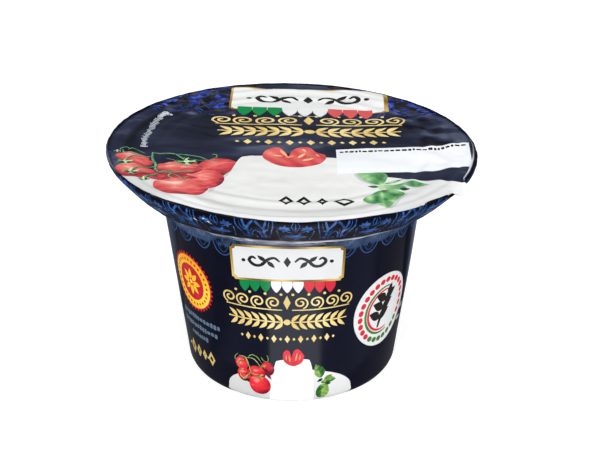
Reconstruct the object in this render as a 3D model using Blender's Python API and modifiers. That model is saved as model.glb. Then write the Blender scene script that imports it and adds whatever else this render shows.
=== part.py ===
"""A sealed pot of fresh cheese, modelled in Blender 4.5.

The pack is three pieces: a shut cup with a wide flange, a peel-off lid sealed on the flange, and
a thin printed sleeve shrunk round both. The sleeve grips the rim, runs inwards over the cup's
shoulder, tucks in under it and then follows the tapered wall down to the foot.

Units are metres. The cup's axis is +Z, its foot stands on Z = 0, and -Y is the front.
Run it with: blender --background --python part.py
"""

import math

import bpy

MM = 0.001

# The rim, lid and flange
RIM_RADIUS = 47.5 * MM            # outside of the sleeve, the widest part of the pack
PACK_HEIGHT = 61.14 * MM          # top of the sleeve's lip at X = 0, where the lean is nil
RIM_DEPTH = 1.80 * MM             # upright part of the sleeve round the flange's edge
RIM_CORNER = 0.45 * MM            # rounding between the lip and the upright part
LIP_WIDTH = 1.20 * MM             # how far the sleeve folds in over the lid
RIM_STEP = 0.45 * MM              # how far the shoulder starts inside the rim
FLANGE_CHAMFER = 0.15 * MM        # on the cup's flange, under the lid's edge

# The shoulder under the rim
SHOULDER_RADIUS = 41.4 * MM       # the sleeve's lower crease
SHOULDER_HEIGHT = 52.9 * MM
TUCK_HEIGHT = 48.2 * MM           # where the sleeve meets the wall again
TUCK_ROUND = 1.2 * MM

# The tapered wall, as a straight line from the floor to a height near its top
FOOT_RADIUS = 28.0 * MM
WALL_RADIUS = 33.6 * MM
WALL_HEIGHT = 46.1 * MM
FOOT_FILLET = 2.75 * MM

# The foot
FOOT_RING_RADIUS = 21.5 * MM      # inside edge of the ring that the cup stands on
FOOT_RECESS = 0.9 * MM            # how far the base is raised inside that ring
SLEEVE_CLEARANCE = 0.4 * MM       # the sleeve's lower edge, above the floor

# The lid's relief
SEAL_RADIUS = 42.0 * MM           # inside edge of the sealed ring
SINK_RADIUS = 39.0 * MM           # where the sunken middle starts
SINK_DEPTH = 0.5 * MM
TAB_WIDTH = 7.0 * MM
TAB_REACH = 1.6 * MM              # how far the pull tab stands out beyond the rim
TAB_ANGLE = math.radians(-32.3)   # round the rim, from +X
TAB_DROOP = 0.35                  # fall of the tab for each unit that it reaches out
TAB_SLOT_DEPTH = 1.65 * MM        # how far the sleeve's lip is cut away under the tab

# Film thickness and the gap between two pieces that touch
FILM = 0.3 * MM
GAP = 0.3 * MM

# The rim sits slightly askew on the cup: the right side is lower
LEAN = 0.022                      # fall of the rim for each unit of X
LEAN_FROM = 44.0 * MM
LEAN_TO = 58.0 * MM

STEPS = 72                        # facets round the axis
MERGE = 0.00001


def wall_radius(height):
    """Outside radius of the sleeve on the tapered wall."""
    return FOOT_RADIUS + (WALL_RADIUS - FOOT_RADIUS) * height / WALL_HEIGHT


def rounded(before, corner, after, radius, count):
    """Points of an arc that rounds the corner of a profile."""
    def towards(point):
        dr, dz = point[0] - corner[0], point[1] - corner[1]
        size = math.hypot(dr, dz)
        return dr / size, dz / size
    a, b = towards(before), towards(after)
    half = math.acos(a[0] * b[0] + a[1] * b[1]) / 2
    middle = (a[0] + b[0], a[1] + b[1])
    size = math.hypot(*middle)
    reach = radius / math.sin(half)
    centre = (corner[0] + middle[0] / size * reach, corner[1] + middle[1] / size * reach)
    start = (corner[0] + a[0] * radius / math.tan(half), corner[1] + a[1] * radius / math.tan(half))
    end = (corner[0] + b[0] * radius / math.tan(half), corner[1] + b[1] * radius / math.tan(half))
    first = math.atan2(start[1] - centre[1], start[0] - centre[0])
    last = math.atan2(end[1] - centre[1], end[0] - centre[0])
    turn = (last - first + math.pi) % (2 * math.pi) - math.pi
    angles = [first + turn * i / (count - 1) for i in range(count)]
    return [(centre[0] + radius * math.cos(t), centre[1] + radius * math.sin(t)) for t in angles]


def moved_in(points, distance):
    """The profile moved inwards by a distance, with mitred corners. The profile runs downwards."""
    normals = []
    for (r0, z0), (r1, z1) in zip(points, points[1:]):
        size = math.hypot(r1 - r0, z1 - z0)
        normals.append(((z1 - z0) / size, -(r1 - r0) / size))
    result = []
    for i, (r, z) in enumerate(points):
        a = normals[max(i - 1, 0)]
        b = normals[min(i, len(normals) - 1)]
        scale = distance / (1 + a[0] * b[0] + a[1] * b[1])
        result.append((r + (a[0] + b[0]) * scale, z + (a[1] + b[1]) * scale))
    return result


def side_profile():
    """Outside of the pack from the rim's lower edge to the floor, running downwards."""
    rim_bottom = (RIM_RADIUS, PACK_HEIGHT - RIM_DEPTH)
    under_rim = (RIM_RADIUS - RIM_STEP, PACK_HEIGHT - RIM_DEPTH - RIM_STEP / 2)
    crease = (SHOULDER_RADIUS, SHOULDER_HEIGHT)
    tuck = (wall_radius(TUCK_HEIGHT), TUCK_HEIGHT)
    floor_edge = (wall_radius(0), 0)
    points = [rim_bottom, under_rim, crease]
    points += rounded(crease, tuck, floor_edge, TUCK_ROUND, 3)
    points += rounded(tuck, floor_edge, (0, 0), FOOT_FILLET, 5)
    return points


def cut_at(points, height):
    """The part of a downward profile that lies above a height, cut exactly there."""
    above = [p for p in points if p[1] > height]
    (r0, z0), (r1, z1) = above[-1], points[len(above)]
    share = (z0 - height) / (z0 - z1)
    return above + [(r0 + (r1 - r0) * share, height)]


def sleeve_profile():
    """Outside of the sleeve, from the inner edge of its lip down to its lower edge."""
    lip = (RIM_RADIUS - LIP_WIDTH, PACK_HEIGHT)
    corner = (RIM_RADIUS, PACK_HEIGHT)
    side = side_profile()
    top = [lip] + rounded(lip, corner, side[0], RIM_CORNER, 3)
    return top + cut_at(side, SLEEVE_CLEARANCE)


def lid_height(radius):
    """Top of the lid film: flat on the sealed ring and sunken inside it."""
    top = PACK_HEIGHT - FILM - GAP
    if radius >= SEAL_RADIUS:
        return top
    if radius >= SINK_RADIUS:
        return top - SINK_DEPTH * (SEAL_RADIUS - radius) / (SEAL_RADIUS - SINK_RADIUS)
    return top - SINK_DEPTH


def lid_profile():
    """Section of the lid, from the axis over its edge and back to the axis."""
    edge = RIM_RADIUS - FILM - GAP
    radii = [0, SINK_RADIUS / 2, SINK_RADIUS, SEAL_RADIUS, edge]
    top = [(r, lid_height(r)) for r in radii]
    under = [(r, lid_height(r) - FILM) for r in reversed(radii)]
    return top + under


def pot_profile():
    """Section of the shut cup, from the axis over the flange, down the side and under the foot."""
    edge = RIM_RADIUS - FILM - GAP
    below_lid = FILM + GAP
    top = [(r, lid_height(r) - below_lid) for r in (0, SINK_RADIUS, SEAL_RADIUS)]
    flange_top = lid_height(edge) - below_lid
    top += [(edge - FLANGE_CHAMFER, flange_top), (edge, flange_top - FLANGE_CHAMFER)]
    rim_top = (RIM_RADIUS, PACK_HEIGHT)
    side = moved_in([rim_top] + side_profile(), FILM + GAP)[2:]
    side = [(r, z) for r, z in side if z > SLEEVE_CLEARANCE]
    foot_edge = FOOT_RADIUS - FOOT_FILLET
    foot = [(foot_edge, 0), (FOOT_RING_RADIUS, 0)]
    foot += [(FOOT_RING_RADIUS - FOOT_RECESS, FOOT_RECESS), (0, FOOT_RECESS)]
    return top + side + foot


def new_material(name, colour, roughness):
    material = bpy.data.materials.new(name)
    material.use_nodes = True
    shader = material.node_tree.nodes["Principled BSDF"]
    shader.inputs["Base Color"].default_value = (*colour, 1)
    shader.inputs["Roughness"].default_value = roughness
    shader.inputs["Metallic"].default_value = 0
    return material


def turned(name, profile, material, collection):
    """A solid or a shell of revolution: a profile turned round Z by a Screw modifier."""
    mesh = bpy.data.meshes.new(name)
    edges = [(i, i + 1) for i in range(len(profile) - 1)]
    mesh.from_pydata([(r, 0, z) for r, z in profile], edges, [])
    mesh.materials.append(material)
    piece = bpy.data.objects.new(name, mesh)
    collection.objects.link(piece)
    screw = piece.modifiers.new("turn", "SCREW")
    screw.axis = "Z"
    screw.steps = STEPS
    screw.render_steps = STEPS
    screw.use_merge_vertices = True
    screw.merge_threshold = MERGE
    return piece


def as_cutter(piece, collection):
    """Moves a helper shape to the cutters' collection and hides it."""
    for owner in list(piece.users_collection):
        owner.objects.unlink(piece)
    collection.objects.link(piece)
    piece.hide_render = True
    piece.display_type = "WIRE"


def block(name, size, radius, height, collection):
    """A box whose middle is at a radius on the tab's line and at a height."""
    bpy.ops.mesh.primitive_cube_add(size=1)
    piece = bpy.context.object
    piece.name = name
    piece.scale = size
    piece.rotation_euler = (0, 0, TAB_ANGLE)
    piece.location = (radius * math.cos(TAB_ANGLE), radius * math.sin(TAB_ANGLE), height)
    as_cutter(piece, collection)
    return piece


def boolean(piece, other, operation):
    step = piece.modifiers.new(operation.lower(), "BOOLEAN")
    step.operation = operation
    step.object = other
    step.solver = "EXACT"


def make_sleeve(collection, cutters):
    """The printed film: a turned shell whose lip is cut away where the pull tab comes out."""
    sleeve = turned("sleeve", sleeve_profile(), new_material("printed_film", (0.013, 0.014, 0.030), 0.24),
                    collection)
    shell = sleeve.modifiers.new("film", "SOLIDIFY")
    shell.thickness = FILM
    shell.offset = -1
    shell.use_even_offset = True
    floor_of_slot = PACK_HEIGHT - TAB_SLOT_DEPTH
    slot_height = 2 * TAB_SLOT_DEPTH
    slot_length = 3 * LIP_WIDTH
    size = (slot_length, TAB_WIDTH + 2 * GAP, slot_height)
    slot = block("tab_slot", size, RIM_RADIUS, floor_of_slot + slot_height / 2, cutters)
    boolean(sleeve, slot, "DIFFERENCE")
    return sleeve


def make_lid(collection, cutters):
    """The lid film with its pull tab."""
    lid = turned("lid", lid_profile(), new_material("printed_lid_film", (0.020, 0.023, 0.052), 0.28),
                 collection)
    edge = RIM_RADIUS - FILM - GAP
    middle = lid_height(edge) - FILM / 2
    bpy.ops.mesh.primitive_cylinder_add(vertices=STEPS, radius=RIM_RADIUS + TAB_REACH, depth=FILM)
    tongue = bpy.context.object
    tongue.name = "tab_tongue"
    tongue.location = (0, 0, middle)
    as_cutter(tongue, cutters)
    length = 2 * (RIM_RADIUS + TAB_REACH - edge + LIP_WIDTH)
    stripe = block("tab_stripe", (length, TAB_WIDTH, RIM_DEPTH), RIM_RADIUS + TAB_REACH, middle, cutters)
    boolean(tongue, stripe, "INTERSECT")
    boolean(lid, tongue, "UNION")
    return lid


def make_pot(collection):
    return turned("pot", pot_profile(), new_material("white_plastic", (0.80, 0.80, 0.78), 0.38), collection)


def drooped(point):
    """Bends the pull tab down beyond the lid's own edge."""
    beyond = math.hypot(point.x, point.y) - (RIM_RADIUS - FILM - GAP)
    if beyond > GAP:
        point.z -= TAB_DROOP * beyond


def leaned(point):
    """Lets the rim sit askew: the fall grows from nothing on the wall to its full value."""
    share = (point.z - LEAN_FROM) / (LEAN_TO - LEAN_FROM)
    point.z -= point.x * LEAN * min(max(share, 0), 1)


def settle(piece, moves):
    """Applies a piece's modifiers, moves its points and shades it smooth."""
    graph = bpy.context.evaluated_depsgraph_get()
    mesh = bpy.data.meshes.new_from_object(piece.evaluated_get(graph))
    piece.modifiers.clear()
    piece.data = mesh
    mesh.name = piece.name
    for vertex in mesh.vertices:
        for move in moves:
            move(vertex.co)
    mesh.shade_smooth()
    mesh.set_sharp_from_angle(angle=math.radians(35))


def main():
    for old in list(bpy.data.objects):
        bpy.data.objects.remove(old)
    parts = bpy.data.collections.new("sealed_cheese_pot")
    cutters = bpy.data.collections.new("cutters")
    for collection in (parts, cutters):
        bpy.context.scene.collection.children.link(collection)
    pot = make_pot(parts)
    lid = make_lid(parts, cutters)
    sleeve = make_sleeve(parts, cutters)
    bpy.context.view_layer.update()
    settle(pot, [leaned])
    settle(lid, [drooped, leaned])
    settle(sleeve, [leaned])


main()
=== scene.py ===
"""The looks of a sealed pot of fresh cheese: printed films, white plastic, light and camera.

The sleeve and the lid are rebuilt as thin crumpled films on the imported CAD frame, and every field of
print is a thin skin of ink laid on them. Layouts are in millimetres, and meshes are made in metres.
The pot's axis is +Z, its front faces -Y, and angles round the axis start at the front and grow
towards +X.
"""

import math

import bpy
import numpy as np
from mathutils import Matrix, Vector
from mathutils.geometry import delaunay_2d_cdt


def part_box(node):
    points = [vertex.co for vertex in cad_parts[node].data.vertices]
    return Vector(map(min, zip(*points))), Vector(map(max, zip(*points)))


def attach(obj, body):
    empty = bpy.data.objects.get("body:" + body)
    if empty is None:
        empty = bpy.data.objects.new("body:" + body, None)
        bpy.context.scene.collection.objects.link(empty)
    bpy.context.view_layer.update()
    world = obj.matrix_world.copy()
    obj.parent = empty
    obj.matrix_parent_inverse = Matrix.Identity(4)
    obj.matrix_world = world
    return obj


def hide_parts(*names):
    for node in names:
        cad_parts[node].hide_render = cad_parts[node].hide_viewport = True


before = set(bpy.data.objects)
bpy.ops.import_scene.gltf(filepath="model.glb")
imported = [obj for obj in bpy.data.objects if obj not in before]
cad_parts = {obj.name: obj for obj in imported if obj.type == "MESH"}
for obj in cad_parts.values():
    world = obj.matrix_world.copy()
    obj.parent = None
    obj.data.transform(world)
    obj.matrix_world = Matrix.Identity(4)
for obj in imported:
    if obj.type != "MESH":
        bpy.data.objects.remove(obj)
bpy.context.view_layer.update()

MM = 0.001
BODY = "root"

# ---------------------------------------------------------------- sizes, in millimetres

sleeve_low, sleeve_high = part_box("sleeve")
LEAN = 0.022                                    # fall of the rim for each unit of X
LEAN_FROM = 44.0                                # heights between which the lean grows
LEAN_TO = 58.0
RIM_RADIUS = (sleeve_high.x - sleeve_low.x) / 2 / MM
PACK_HEIGHT = sleeve_high.z / MM - LEAN * RIM_RADIUS
SLEEVE_BOTTOM = sleeve_low.z / MM
RIM_DEPTH = 1.55                                # from the rim's top to where its side meets the shoulder
RIM_CORNER = 0.45                               # radius of the rim's top corner
LIP_REACH = 2.0                                 # how far in over the lid the sleeve's outline starts
RIM_TURN = 2.6                                  # radius of the bend from the rim's side to the shoulder
SHOULDER_RADIUS = 41.4                          # the crease under the shoulder
SHOULDER_HEIGHT = 52.9
CREASE_TURN = 0.5                               # radius of its bend
TUCK_HEIGHT = 48.2                              # where the film comes in to the wall under the crease
TUCK_TURN = 1.2                                 # radius of the bend there
FOOT_RADIUS = 28.0
WALL_RADIUS = 33.6
WALL_HEIGHT = 46.1
FOOT_FILLET = 2.75
FOOT_TOP = 3.0                                  # where the wall ends and the print runs on round the foot
FILM = 0.15                                     # thickness of the two films

LID_DROP = 0.55                                 # the lid's top under the sleeve's lip
LID_RADIUS = RIM_RADIUS - 0.22
SEAL_RADIUS = 42.0                              # inside edge of the sealed ring
SINK_RADIUS = 39.0                              # where the sunken middle starts
SINK_DEPTH = 0.35
TAB_ANGLE = 57.7                                # degrees from the front
TAB_HALF_WIDTH = 3.5
TAB_REACH = 1.6
TAB_DROOP = 0.35
TAB_SLOT = 1.75                                 # how far down the rim the sleeve is cut away under it

ROUND_STEPS = 480                               # columns of the films' meshes
SLOPE_REACH = 0.25                              # run each way over which the outline's slope is taken


# ---------------------------------------------------------------- small helpers

def smooth(low, high, value):
    """A soft step from 0 at low to 1 at high."""
    t = np.clip((np.asarray(value, float) - low) / (high - low), 0, 1)
    return t * t * (3 - 2 * t)


def bump(value, middle, width):
    """A soft hill of height 1 round a middle value."""
    return np.exp(-((np.asarray(value, float) - middle) / width) ** 2)


def off_from(middle, angle):
    """Degrees from a middle angle, between -180 and 180."""
    return (np.asarray(angle) - middle + 180) % 360 - 180


class Noise:
    """Soft seeded noise over a plane, from -1 to 1. It repeats after `repeat` cells along u."""

    def __init__(self, seed, repeat):
        self.repeat = repeat
        self.values = np.random.default_rng(seed).uniform(-1, 1, (repeat, 97))

    def __call__(self, u, v):
        u, v = np.asarray(u, float), np.asarray(v, float)
        column, row = np.floor(u).astype(int), np.floor(v).astype(int)
        a, b = smooth(0, 1, u - column), smooth(0, 1, v - row)
        rows = self.values.shape[1]

        def at(i, j):
            return self.values[(column + i) % self.repeat, (row + j) % rows]

        low = at(0, 0) * (1 - a) + at(1, 0) * a
        high = at(0, 1) * (1 - a) + at(1, 1) * a
        return low * (1 - b) + high * b

    def around(self, angle, v, slide=0.0):
        """The noise at angles round the pack's axis, where it closes on itself."""
        return self(np.asarray(angle) / 360 % 1 * self.repeat + slide, v)


def leaned(x, z):
    """Height after the rim's lean, which grows from nothing on the wall to its full value."""
    share = np.clip((z - LEAN_FROM) / (LEAN_TO - LEAN_FROM), 0, 1)
    return z - x * LEAN * share


def add_object(name, points, faces, material):
    """A mesh piece from points in millimetres, riding on the pack."""
    mesh = bpy.data.meshes.new(name)
    mesh.from_pydata((np.asarray(points) * MM).tolist(), [], [list(map(int, f)) for f in faces])
    mesh.materials.append(material)
    mesh.shade_smooth()
    mesh.set_sharp_from_angle(angle=math.radians(40))
    piece = bpy.data.objects.new(name, mesh)
    bpy.context.scene.collection.objects.link(piece)
    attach(piece, BODY)
    return piece


# ---------------------------------------------------------------- the sleeve's surface

def rounded(before, corner, after, radius, count=7):
    """Points of an arc that rounds the corner of a profile."""
    corner = np.array(corner, float)
    a = np.array(before) - corner
    b = np.array(after) - corner
    a, b = a / np.linalg.norm(a), b / np.linalg.norm(b)
    half = math.acos(float(a @ b)) / 2
    middle = (a + b) / np.linalg.norm(a + b)
    centre = corner + middle * radius / math.sin(half)
    start = corner + a * radius / math.tan(half) - centre
    end = corner + b * radius / math.tan(half) - centre
    first, last = math.atan2(start[1], start[0]), math.atan2(end[1], end[0])
    turn = (last - first + math.pi) % (2 * math.pi) - math.pi
    angles = first + turn * np.linspace(0, 1, count)
    return [tuple(centre + radius * np.array((math.cos(t), math.sin(t)))) for t in angles]


def wall_radius(height):
    """Radius of the cup's straight wall, drawn on above and below it."""
    return FOOT_RADIUS + (WALL_RADIUS - FOOT_RADIUS) * height / WALL_HEIGHT


def sleeve_outline():
    """The sleeve's outside from the rim's top corner down to the foot, as (radius, height) points."""
    corner = (RIM_RADIUS, PACK_HEIGHT)
    under = (RIM_RADIUS, PACK_HEIGHT - RIM_DEPTH)
    crease = (SHOULDER_RADIUS, SHOULDER_HEIGHT)
    tuck = (wall_radius(TUCK_HEIGHT), TUCK_HEIGHT)
    foot = (wall_radius(0), 0)
    points = [(RIM_RADIUS - LIP_REACH, PACK_HEIGHT)]
    points += rounded(points[0], corner, under, RIM_CORNER)
    points += rounded(corner, under, crease, RIM_TURN, 9)
    points += rounded(under, crease, tuck, CREASE_TURN, 5)
    points += rounded(crease, tuck, foot, TUCK_TURN)
    points += rounded(tuck, foot, (0, 0), FOOT_FILLET, 12)
    above = [p for p in points if p[1] > SLEEVE_BOTTOM]
    (r0, z0), (r1, z1) = above[-1], points[len(above)]
    share = (z0 - SLEEVE_BOTTOM) / (z0 - z1)
    return np.array(above + [(r0 + (r1 - r0) * share, SLEEVE_BOTTOM)])


OUTLINE = sleeve_outline()
OUTLINE_RUN = np.concatenate([[0], np.cumsum(np.linalg.norm(np.diff(OUTLINE, axis=0), axis=1))])
OUTLINE_RUN -= LIP_REACH - 0.25                 # run 0 lies in the bend of the rim's top corner
RUN_END = OUTLINE_RUN[-1]


def run_at(height):
    """Run along the sleeve's outline at a height above the floor."""
    order = np.argsort(OUTLINE[:, 1], kind="stable")
    return np.interp(height, OUTLINE[order, 1], OUTLINE_RUN[order])


CREASE_RUN = float(run_at(SHOULDER_HEIGHT))
FOOT_RUN = float(run_at(FOOT_TOP))

gathers = Noise(3, 150)                         # short pleats round the rim and the tuck
folds = Noise(5, 46)                            # longer folds
waves = Noise(8, 9)                             # slow waves of the wall


def sleeve_relief(angle, run):
    """How far the shrunk film stands off its smooth shape, in millimetres."""
    shoulder = smooth(1.5, 4, run) * (1 - smooth(CREASE_RUN, CREASE_RUN + 2, run))
    tuck = bump(run, CREASE_RUN + 3.5, 4.5)
    wall = smooth(CREASE_RUN + 8, CREASE_RUN + 16, run)
    relief = 0.07 * gathers.around(angle, run * 0.35) * bump(run, 0.6, 2.0)
    relief += 0.10 * folds.around(angle, run * 0.16) * shoulder
    relief += 0.16 * gathers.around(angle, run * 0.18, run * 0.22) * tuck
    relief += 0.12 * folds.around(angle, run * 0.4) * tuck
    relief += 0.12 * waves.around(angle, run * 0.05) * wall
    return relief + 0.02 * folds.around(angle, run * 0.12, 11) * wall


def sleeve_painted_light(angle, run):
    """Painted light on the sleeve: how far its print is drawn pale, and below 0 how far it is darkened.

    A painted highlight runs along the crease under the shoulder in front, with a dark line of painted
    shade over it and a painted haze of reflected light under it. Painted pleat highlights lie below it,
    with dark slots of painted shade between them, and a faint painted sheen lies on the rim at the left.
    """
    below = run - CREASE_RUN
    front = bump(off_from(0, angle), 0, 27)
    wander = 0.30 * folds.around(angle, 2.5)
    crease = bump(below + wander, -0.15, 0.75) * (0.30 + 0.22 * gathers.around(angle, 9.3))
    fold = smooth(-0.2, 0.5, below) * (1 - smooth(2.2, 4.4, below))
    fold = fold * (0.42 + 0.40 * gathers.around(angle, run * 0.35))
    streaks = 0.40 * folds.around(angle, run * 0.25) + 0.55 * gathers.around(angle, run * 0.22, run * 0.45)
    haze = smooth(-0.4, 0.4, below) * (1 - smooth(9.2, 12.6, below)) * (1.25 - 0.60 * front)
    haze = haze * (0.25 - 0.09 * smooth(7.6, 9.0, below)) * (0.95 + streaks)
    dashes = bump(below + 3 * wander, 3.9, 1.2) * smooth(-0.20, 0.20, gathers.around(angle, 4.5))
    pleats = 0.30 * bump(below, 5.8, 1.2) * smooth(0, 0.5, gathers.around(angle, 4.5))
    rim = 0.13 * bump(off_from(-85, angle), 0, 24) * bump(run, 0, 0.8)
    pale = (np.maximum(crease, fold) * (0.10 + 0.90 * front) + haze) * (1 - 0.85 * dashes) + pleats + rim
    return np.clip(pale - 0.35 * bump(below, -1.6, 0.8), -0.4, 1)


def lip_glint(angle):
    """Where the sleeve's cut edge on the lid catches the light: at the right and the upper left."""
    angle = off_from(0, angle)
    glint = 1.1 * bump(angle, 72, 15) + 0.55 * bump(angle, -118, 20)
    return np.clip(glint + 0.2 * gathers.around(angle, 3.5), 0, 1)


def outline_at(run):
    """Radius and height of the sleeve's outline at a run."""
    return np.stack([np.interp(run, OUTLINE_RUN, column) for column in OUTLINE.T])


def sleeve_point(angle, run, lift=0.0):
    """Points of the sleeve, in millimetres, at angles in degrees and runs along its outline."""
    angle, run = np.broadcast_arrays(np.asarray(angle, float), np.asarray(run, float))
    along_r, along_z = outline_at(run + SLOPE_REACH) - outline_at(run - SLOPE_REACH)
    off = (lift + sleeve_relief(angle, run)) / np.hypot(along_r, along_z)
    radius, height = outline_at(run)
    radius, height = radius - along_z * off, height + along_r * off
    turn = np.radians(angle)
    x, y = radius * np.sin(turn), -radius * np.cos(turn)
    return np.stack([x, y, leaned(x, height)], axis=-1)


# ---------------------------------------------------------------- the lid's surface

lid_swell = Noise(21, 64)
lid_folds = Noise(22, 64)
lid_grain = Noise(23, 64)


def tab_share(x, y):
    """1 on the strip of the lid that ends in the pull tab, 0 beside it."""
    turn = math.radians(TAB_ANGLE)
    along = x * math.sin(turn) - y * math.cos(turn)
    across = x * math.cos(turn) + y * math.sin(turn)
    inside = 1 - smooth(TAB_HALF_WIDTH - 0.7, TAB_HALF_WIDTH, np.abs(across))
    return inside * (along > 0)


def lid_edge(angle):
    """Radius of the lid's edge at an angle in degrees from the front."""
    off = off_from(TAB_ANGLE, angle)
    across = np.abs(np.sin(np.radians(off))) * (RIM_RADIUS + TAB_REACH)
    out = (1 - smooth(TAB_HALF_WIDTH - 1.2, TAB_HALF_WIDTH, across)) * (np.abs(off) < 90)
    return LID_RADIUS + (RIM_RADIUS + TAB_REACH - LID_RADIUS) * out


def lid_pockets(x, y):
    """Small dents in the film at the right, just inside the sealed ring; below 0 where it stands up."""
    crumple = lid_grain(x * 0.21 + y * 0.07 + 12, y * 0.36 - x * 0.04 + 12)
    right = smooth(16, 28, x) * bump(np.hypot(x, y), 38.0, 5.0) * smooth(-14, -2, y)
    return right * (smooth(0.05, 0.45, crumple) - 0.4 * smooth(0.05, 0.5, -crumple))


def lid_relief(x, y, radius):
    """How far the lid's film stands off its smooth shape, in millimetres."""
    middle = 1 - smooth(SINK_RADIUS - 6, SINK_RADIUS, radius)
    ring = smooth(SEAL_RADIUS - 0.5, SEAL_RADIUS + 1.5, radius)
    turn = np.arctan2(y, x) / (2 * math.pi) % 1
    relief = 0.22 * lid_swell(x * 0.055 + 20, y * 0.085 + 20) * middle
    relief += 0.10 * lid_folds(x * 0.10 + y * 0.05 + 30, y * 0.20 - x * 0.06 + 30) * middle
    relief += 0.05 * lid_grain(x * 0.42 + 31, y * 0.42 + 31)
    relief += 0.10 * folds(turn * folds.repeat, radius * 0.22) * ring
    relief -= 0.14 * bump(radius, 43.4, 0.7) - 0.10 * bump(radius, 44.9, 0.8)
    relief += 0.16 * bump(radius, 36.2, 1.0) - 0.12 * bump(radius, 34.0, 0.9)
    return relief - 0.16 * lid_pockets(x, y)


def lid_point(x, y, lift=0.0):
    """Points of the lid's top, in millimetres."""
    x, y = np.broadcast_arrays(np.asarray(x, float), np.asarray(y, float))
    radius = np.hypot(x, y)
    drop = LID_DROP - 0.22 * smooth(12, 42, y)
    height = PACK_HEIGHT - drop - SINK_DEPTH * (1 - smooth(SINK_RADIUS, SEAL_RADIUS, radius))
    height = height + lid_relief(x, y, radius) * (1 - smooth(45.5, 47, radius))
    beyond = np.clip(radius - LID_RADIUS + 0.9, 0, None)
    height = height - TAB_DROOP * beyond * tab_share(x, y)
    return np.stack([x, y, leaned(x, height + lift)], axis=-1)


def spot(x, y, x0, y0, rx, ry):
    """A soft spot of height 1 round a point."""
    return bump(np.hypot((x - x0) / rx, (y - y0) / ry), 0, 1)


def crease_shade_line(x, y, start, end, width):
    """A soft line of height 1 between two points."""
    (x0, y0), (x1, y1) = start, end
    along = np.clip(((x - x0) * (x1 - x0) + (y - y0) * (y1 - y0)) / ((x1 - x0) ** 2 + (y1 - y0) ** 2), 0, 1)
    return bump(np.hypot(x - x0 - along * (x1 - x0), y - y0 - along * (y1 - y0)), 0, width)


def lid_painted_light(x, y):
    """Painted sheen and shade on the lid's film: slow clouds, long creases, a paler sealed ring, painted
    highlight spots, and painted shade at the step, in dents, in patches and along small creases.
    """
    radius = np.hypot(x, y)
    left = smooth(5, 25, -x)
    shade = 0.50 + 0.26 * lid_swell(x * 0.045 + 7, y * 0.085 + 9)
    shade += 0.20 * lid_folds(x * 0.09 + y * 0.04 + 3, y * 0.26 - x * 0.05 + 3)
    shade += 0.10 * lid_grain(x * 0.30 + 5, y * 0.75 + 5)
    # a paler sealed ring of painted sheen, lighter at the left
    shade += (0.14 * left + 0.10) * smooth(42.6, 43.6, radius) * (1 - smooth(46.2, 47.2, radius))
    # painted shade in the step inside the sealed ring, at the left
    shade -= 0.45 * left * bump(radius, 41.6, 0.9)
    # a darker painted band across the lid
    shade -= 0.40 * bump(y, 21.5, 2.6) * smooth(-27, -12, x) * (1 - smooth(20, 34, x))
    # painted shade in the dents at the right
    shade -= 0.80 * lid_pockets(x, y)
    # painted highlight spots, and painted dark patches where the level is below 0
    for level, x0, y0, rx, ry in ((0.80, -27.7, 22.5, 2.8, 1.5), (-0.55, -32.4, 21.7, 3.4, 1.3),
                                  (-0.26, 27, 11, 11, 7), (-0.16, 31, 15, 8, 6), (0.14, -8, 0, 16, 7),
                                  (-0.20, -24, 4, 8, 9)):
        shade += level * spot(x, y, x0, y0, rx, ry)
    # thin lines of painted shade along small creases
    for start, end in (((-26.5, 13.6), (-21.5, 11.8)), ((-20.5, 12.8), (-17.5, 9.4)),
                       ((-24.0, 8.4), (-20.4, 6.0))):
        shade -= 0.5 * crease_shade_line(x, y, start, end, 0.55)
    return np.clip(shade, 0, 1)


def give_shade(piece, values):
    """Writes a piece's lights and darks, one value for each point."""
    layer = piece.data.attributes.new("shade", "FLOAT", "POINT")
    layer.data.foreach_set("value", np.asarray(values, np.float32))


# ---------------------------------------------------------------- materials

def linear(rgb):
    """A colour given as 0 to 255 screen values, as the shader's linear numbers."""
    def one(value):
        c = value / 255
        return c / 12.92 if c <= 0.04045 else ((c + 0.055) / 1.055) ** 2.4
    return (*[one(v) for v in rgb], 1.0)


def new_material(name):
    material = bpy.data.materials.new(name)
    material.use_nodes = True
    return material, material.node_tree, material.node_tree.nodes["Principled BSDF"]


def set_inputs(tree, node, inputs):
    """Gives a node's inputs, by name or number, a value or a link from another node."""
    for name, value in inputs.items():
        if isinstance(value, bpy.types.NodeSocket):
            tree.links.new(value, node.inputs[name])
        else:
            node.inputs[name].default_value = value


def add_node(tree, kind, inputs):
    node = tree.nodes.new(f"ShaderNode{kind}")
    set_inputs(tree, node, inputs)
    return node


def noise_value(tree, place, scale, detail):
    return add_node(tree, "TexNoise", {"Vector": place, "Scale": scale, "Detail": detail}).outputs["Fac"]


def scaled_sum(tree, a, factor, b):
    """The value a * factor + b, where b is a number or another node's value."""
    node = tree.nodes.new("ShaderNodeMath")
    node.operation = "MULTIPLY_ADD"
    set_inputs(tree, node, {0: a, 1: factor, 2: b})
    return node.outputs[0]


def attribute_value(tree, name):
    node = tree.nodes.new("ShaderNodeAttribute")
    node.attribute_name = name
    return node.outputs["Fac"]


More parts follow.
